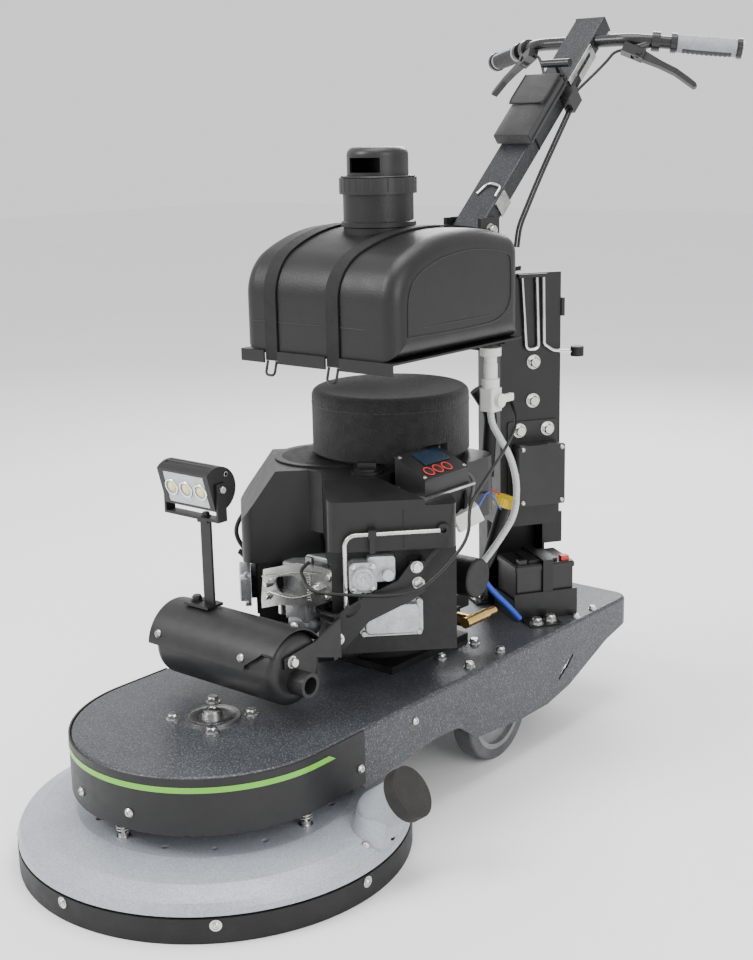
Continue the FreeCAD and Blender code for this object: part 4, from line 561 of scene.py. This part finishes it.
# carburettor and linkage pieces in the V
EB = "chassis"
bm = bmesh.new()
for c, sz in (((-12, 232, 330), (66, 60, 74)), ((-12, 214, 298), (44, 40, 40)), ((-20, 268, 352), (90, 60, 40))):
    bmesh.ops.create_cube(bm, size=1, matrix=Matrix.Translation(Vector(c) / 1000) @ Matrix.Diagonal((sz[0] / 1000, sz[1] / 1000, sz[2] / 1000, 1)))
obj("carburettor", bm, CAST, EB, True, .004)
lathe_at("carb_bowl", (-12, 214, 282), (0, 0, -1), [(0, 0), (24, 0), (25, 3), (25, 20), (21, 26), (9, 28), (9, 33), (0, 33)], CAST, EB, 44)
lathe_at("fuel_solenoid", (-55, 218, 300), (0, 0, -1), [(0, -18), (11, -18), (12, -16), (12, 22), (10, 24), (0, 24)], ZINC, EB, 32)
tube("governor_spring", [(30 + 3.2 * math.cos(k * 1.2), 181 + 3.2 * math.sin(k * 1.2), 322 + k * .75) for k in range(56)], .7, ZINC, EB, kind="POLY")
tube("governor_link", [(-52, 180, 322), (-20, 180, 318), (14, 180, 324), (44, 180, 340), (66, 180, 352)], 1.4, ZINC, EB)
tube("choke_link", [(-66, 180, 344), (-30, 179, 352), (12, 179, 366), (52, 179, 369)], 1.2, ZINC, EB)
lathe_at("governor_arm_pivot", (44, 184, 344), (0, -1, 0), [(0, 0), (9, 0), (9, 3), (6, 3.2), (6, 8), (4.4, 10), (0, 10)], ZINC, EB, 28)
lathe_at("governor_clamp", (-56, 184, 334), (0, -1, 0), [(0, 0), (6, 0), (6, 6), (4, 7), (0, 7)], ZINC, EB, 28)
# intake fuel line from the regulator
tube("vacuum_hose", [lp(222, -42, 352), lp(232, -50, 330), lp(228, -74, 316), (40, 200, 300), (10, 214, 300)], 4.4, RUB, EB)
# regulator cover bolts and disc
for t, z in ((-56, 358), (-28, 358), (-56, 392), (-28, 392)):
    lathe_at("regulator_screw_%d_%d" % (t, z), lp(225.8, t, z), (.7071, -.7071, 0), [(0, 0), (4.2, 0), (4, 2.6), (2.6, 3.4), (0, 3.4)], ZINC, EB, 20)
lathe_at("regulator_disc", lp(231.4, -42, 375), (.7071, -.7071, 0), [(16.4, 0), (16, 2), (12, 2.4), (11, 1.4), (4, 1.6), (3.4, 3.4), (0, 3.4)], CAST, EB, 40)
# starter motor on the left
lathe_at("starter_motor", (-150, 300, 214), (0, 0, 1), [(0, 0), (27, 0), (30, 3), (30, 96), (26, 104), (12, 106), (12, 118), (0, 118)], ZINC, EB, 48)
# wires at the connector block
tube("wire_red", [(161, 402, 422), (158, 420, 446), (140, 470, 462), (122, 520, 440), (112, 560, 420)], 1.5, RED, EB)
tube("wire_blue", [(166, 408, 420), (166, 430, 440), (150, 476, 452), (132, 520, 420), (118, 556, 396)], 1.5, BLUE, EB)
tube("wire_black_loom", [(157, 400, 426), (156, 410, 456), (134, 424, 474), (112, 430, 470)], 3.2, RUB, EB)
tube("display_lead", [(150, 404, 494), (158, 424, 488), (162, 418, 460), (160, 410, 434)], 3.0, GREYH, EB)

# stick-on plate outlines are left plain; housing step line
tube("housing_step_line", [lp(210.3, 20, z) for z in (414, 440, 470)], .8, PLA, EB, kind="POLY")
# hub: dished ring and cap
lathe_at("hub_ring", (0, 0, 193.2), (0, 0, 1), [(20.2, .9), (24, 1.2), (33, 1.2), (34, .9), (34, 0), (20.2, 0)], STL, EB, 56)
lathe_at("hub_cap", (0, 0, 200.3), (0, 0, 1), [(12.4, 0), (12.2, 2.8), (8.5, 4.2), (5.5, 4.2), (5, 2.8), (0, 2.8)], ZINC, "spindle", 40)

# dust port: clamp screws
for x, y, z in ((214, 66, 74.2), (262, 26, 61.0), (240, 112, 59.5)):
    lathe_at("port_screw_%d" % x, (x, y, z + 2), (.18, .05, 1), [(0, -4), (6.4, -4), (6.4, 0), (4.4, 2.8), (3, 3.2), (2.6, 1.6), (0, 1.6)], ZINC, "shroud_unit", 24)

# handle cables: lower run to the bracket
for sx in (-1, 1):
    q = Vector((sx * 118, 977, 1124))
    c0 = q + Vector((-sx * 14, -5, 8))
    tube("lever_cable_%s" % ("l" if sx > 0 else "r"), [c0, c0 + Vector((-sx * 22, -10, 2)), Vector((sx * 66, 955, 1112)), Vector((sx * 44, 930, 1082)), colp(sx * 38, 338, -8) if sx > 0 else colp(-37, 330, -8), colp(sx * 37, 300, -12)], 2.6, CABLE, "handle")
tube("cable_right_run", [colp(-37, 300, -12), colp(-37, 200, -16), colp(-36, 110, -20), colp(-34, 60, -20)], 2.6, CABLE, "handle")

# ------------------------------------------------------------------ stage
bm = bmesh.new()
bmesh.ops.create_grid(bm, x_segments=2, y_segments=2, size=14)
me = bpy.data.meshes.new("floor")
bm.to_mesh(me)
bm.free()
fl_ = bpy.data.objects.new("floor", me)
SC.collection.objects.link(fl_)
fl_.location = (0, 0, -.0006)
fm = mat("floor_pale", (.93, .93, .93), .8, 0, .01, 2, 60, .01, .03, (("NOISE", 60., .03, .0004),))
me.materials.append(fm)
w = bpy.data.worlds.new("w")
SC.world = w
w.use_nodes = True
w.node_tree.nodes["Background"].inputs[0].default_value = (1, 1, 1, 1)
w.node_tree.nodes["Background"].inputs[1].default_value = 1.1


def area(name, loc, target, size, power, col=(1, 1, 1)):
    l = bpy.data.lights.new(name, "AREA")
    l.shape = "RECTANGLE"
    l.size, l.size_y = size
    l.energy = power
    l.color = col
    o = bpy.data.objects.new(name, l)
    SC.collection.objects.link(o)
    o.location = loc
    d = Vector(target) - Vector(loc)
    o.rotation_euler = d.to_track_quat("-Z", "Y").to_euler()
    return o


area("key", (-1.6, -2.4, 2.9), (0, .3, .5), (1.6, 1.6), 110)
area("fill", (3.0, -.6, 1.8), (0, .4, .5), (1.6, 2.0), 48)
area("top", (0, .3, 3.4), (0, .3, .4), (1.8, 2.4), 70)
area("rim", (-1.2, 3.0, 2.2), (0, .5, .8), (1.6, 1.4), 70)
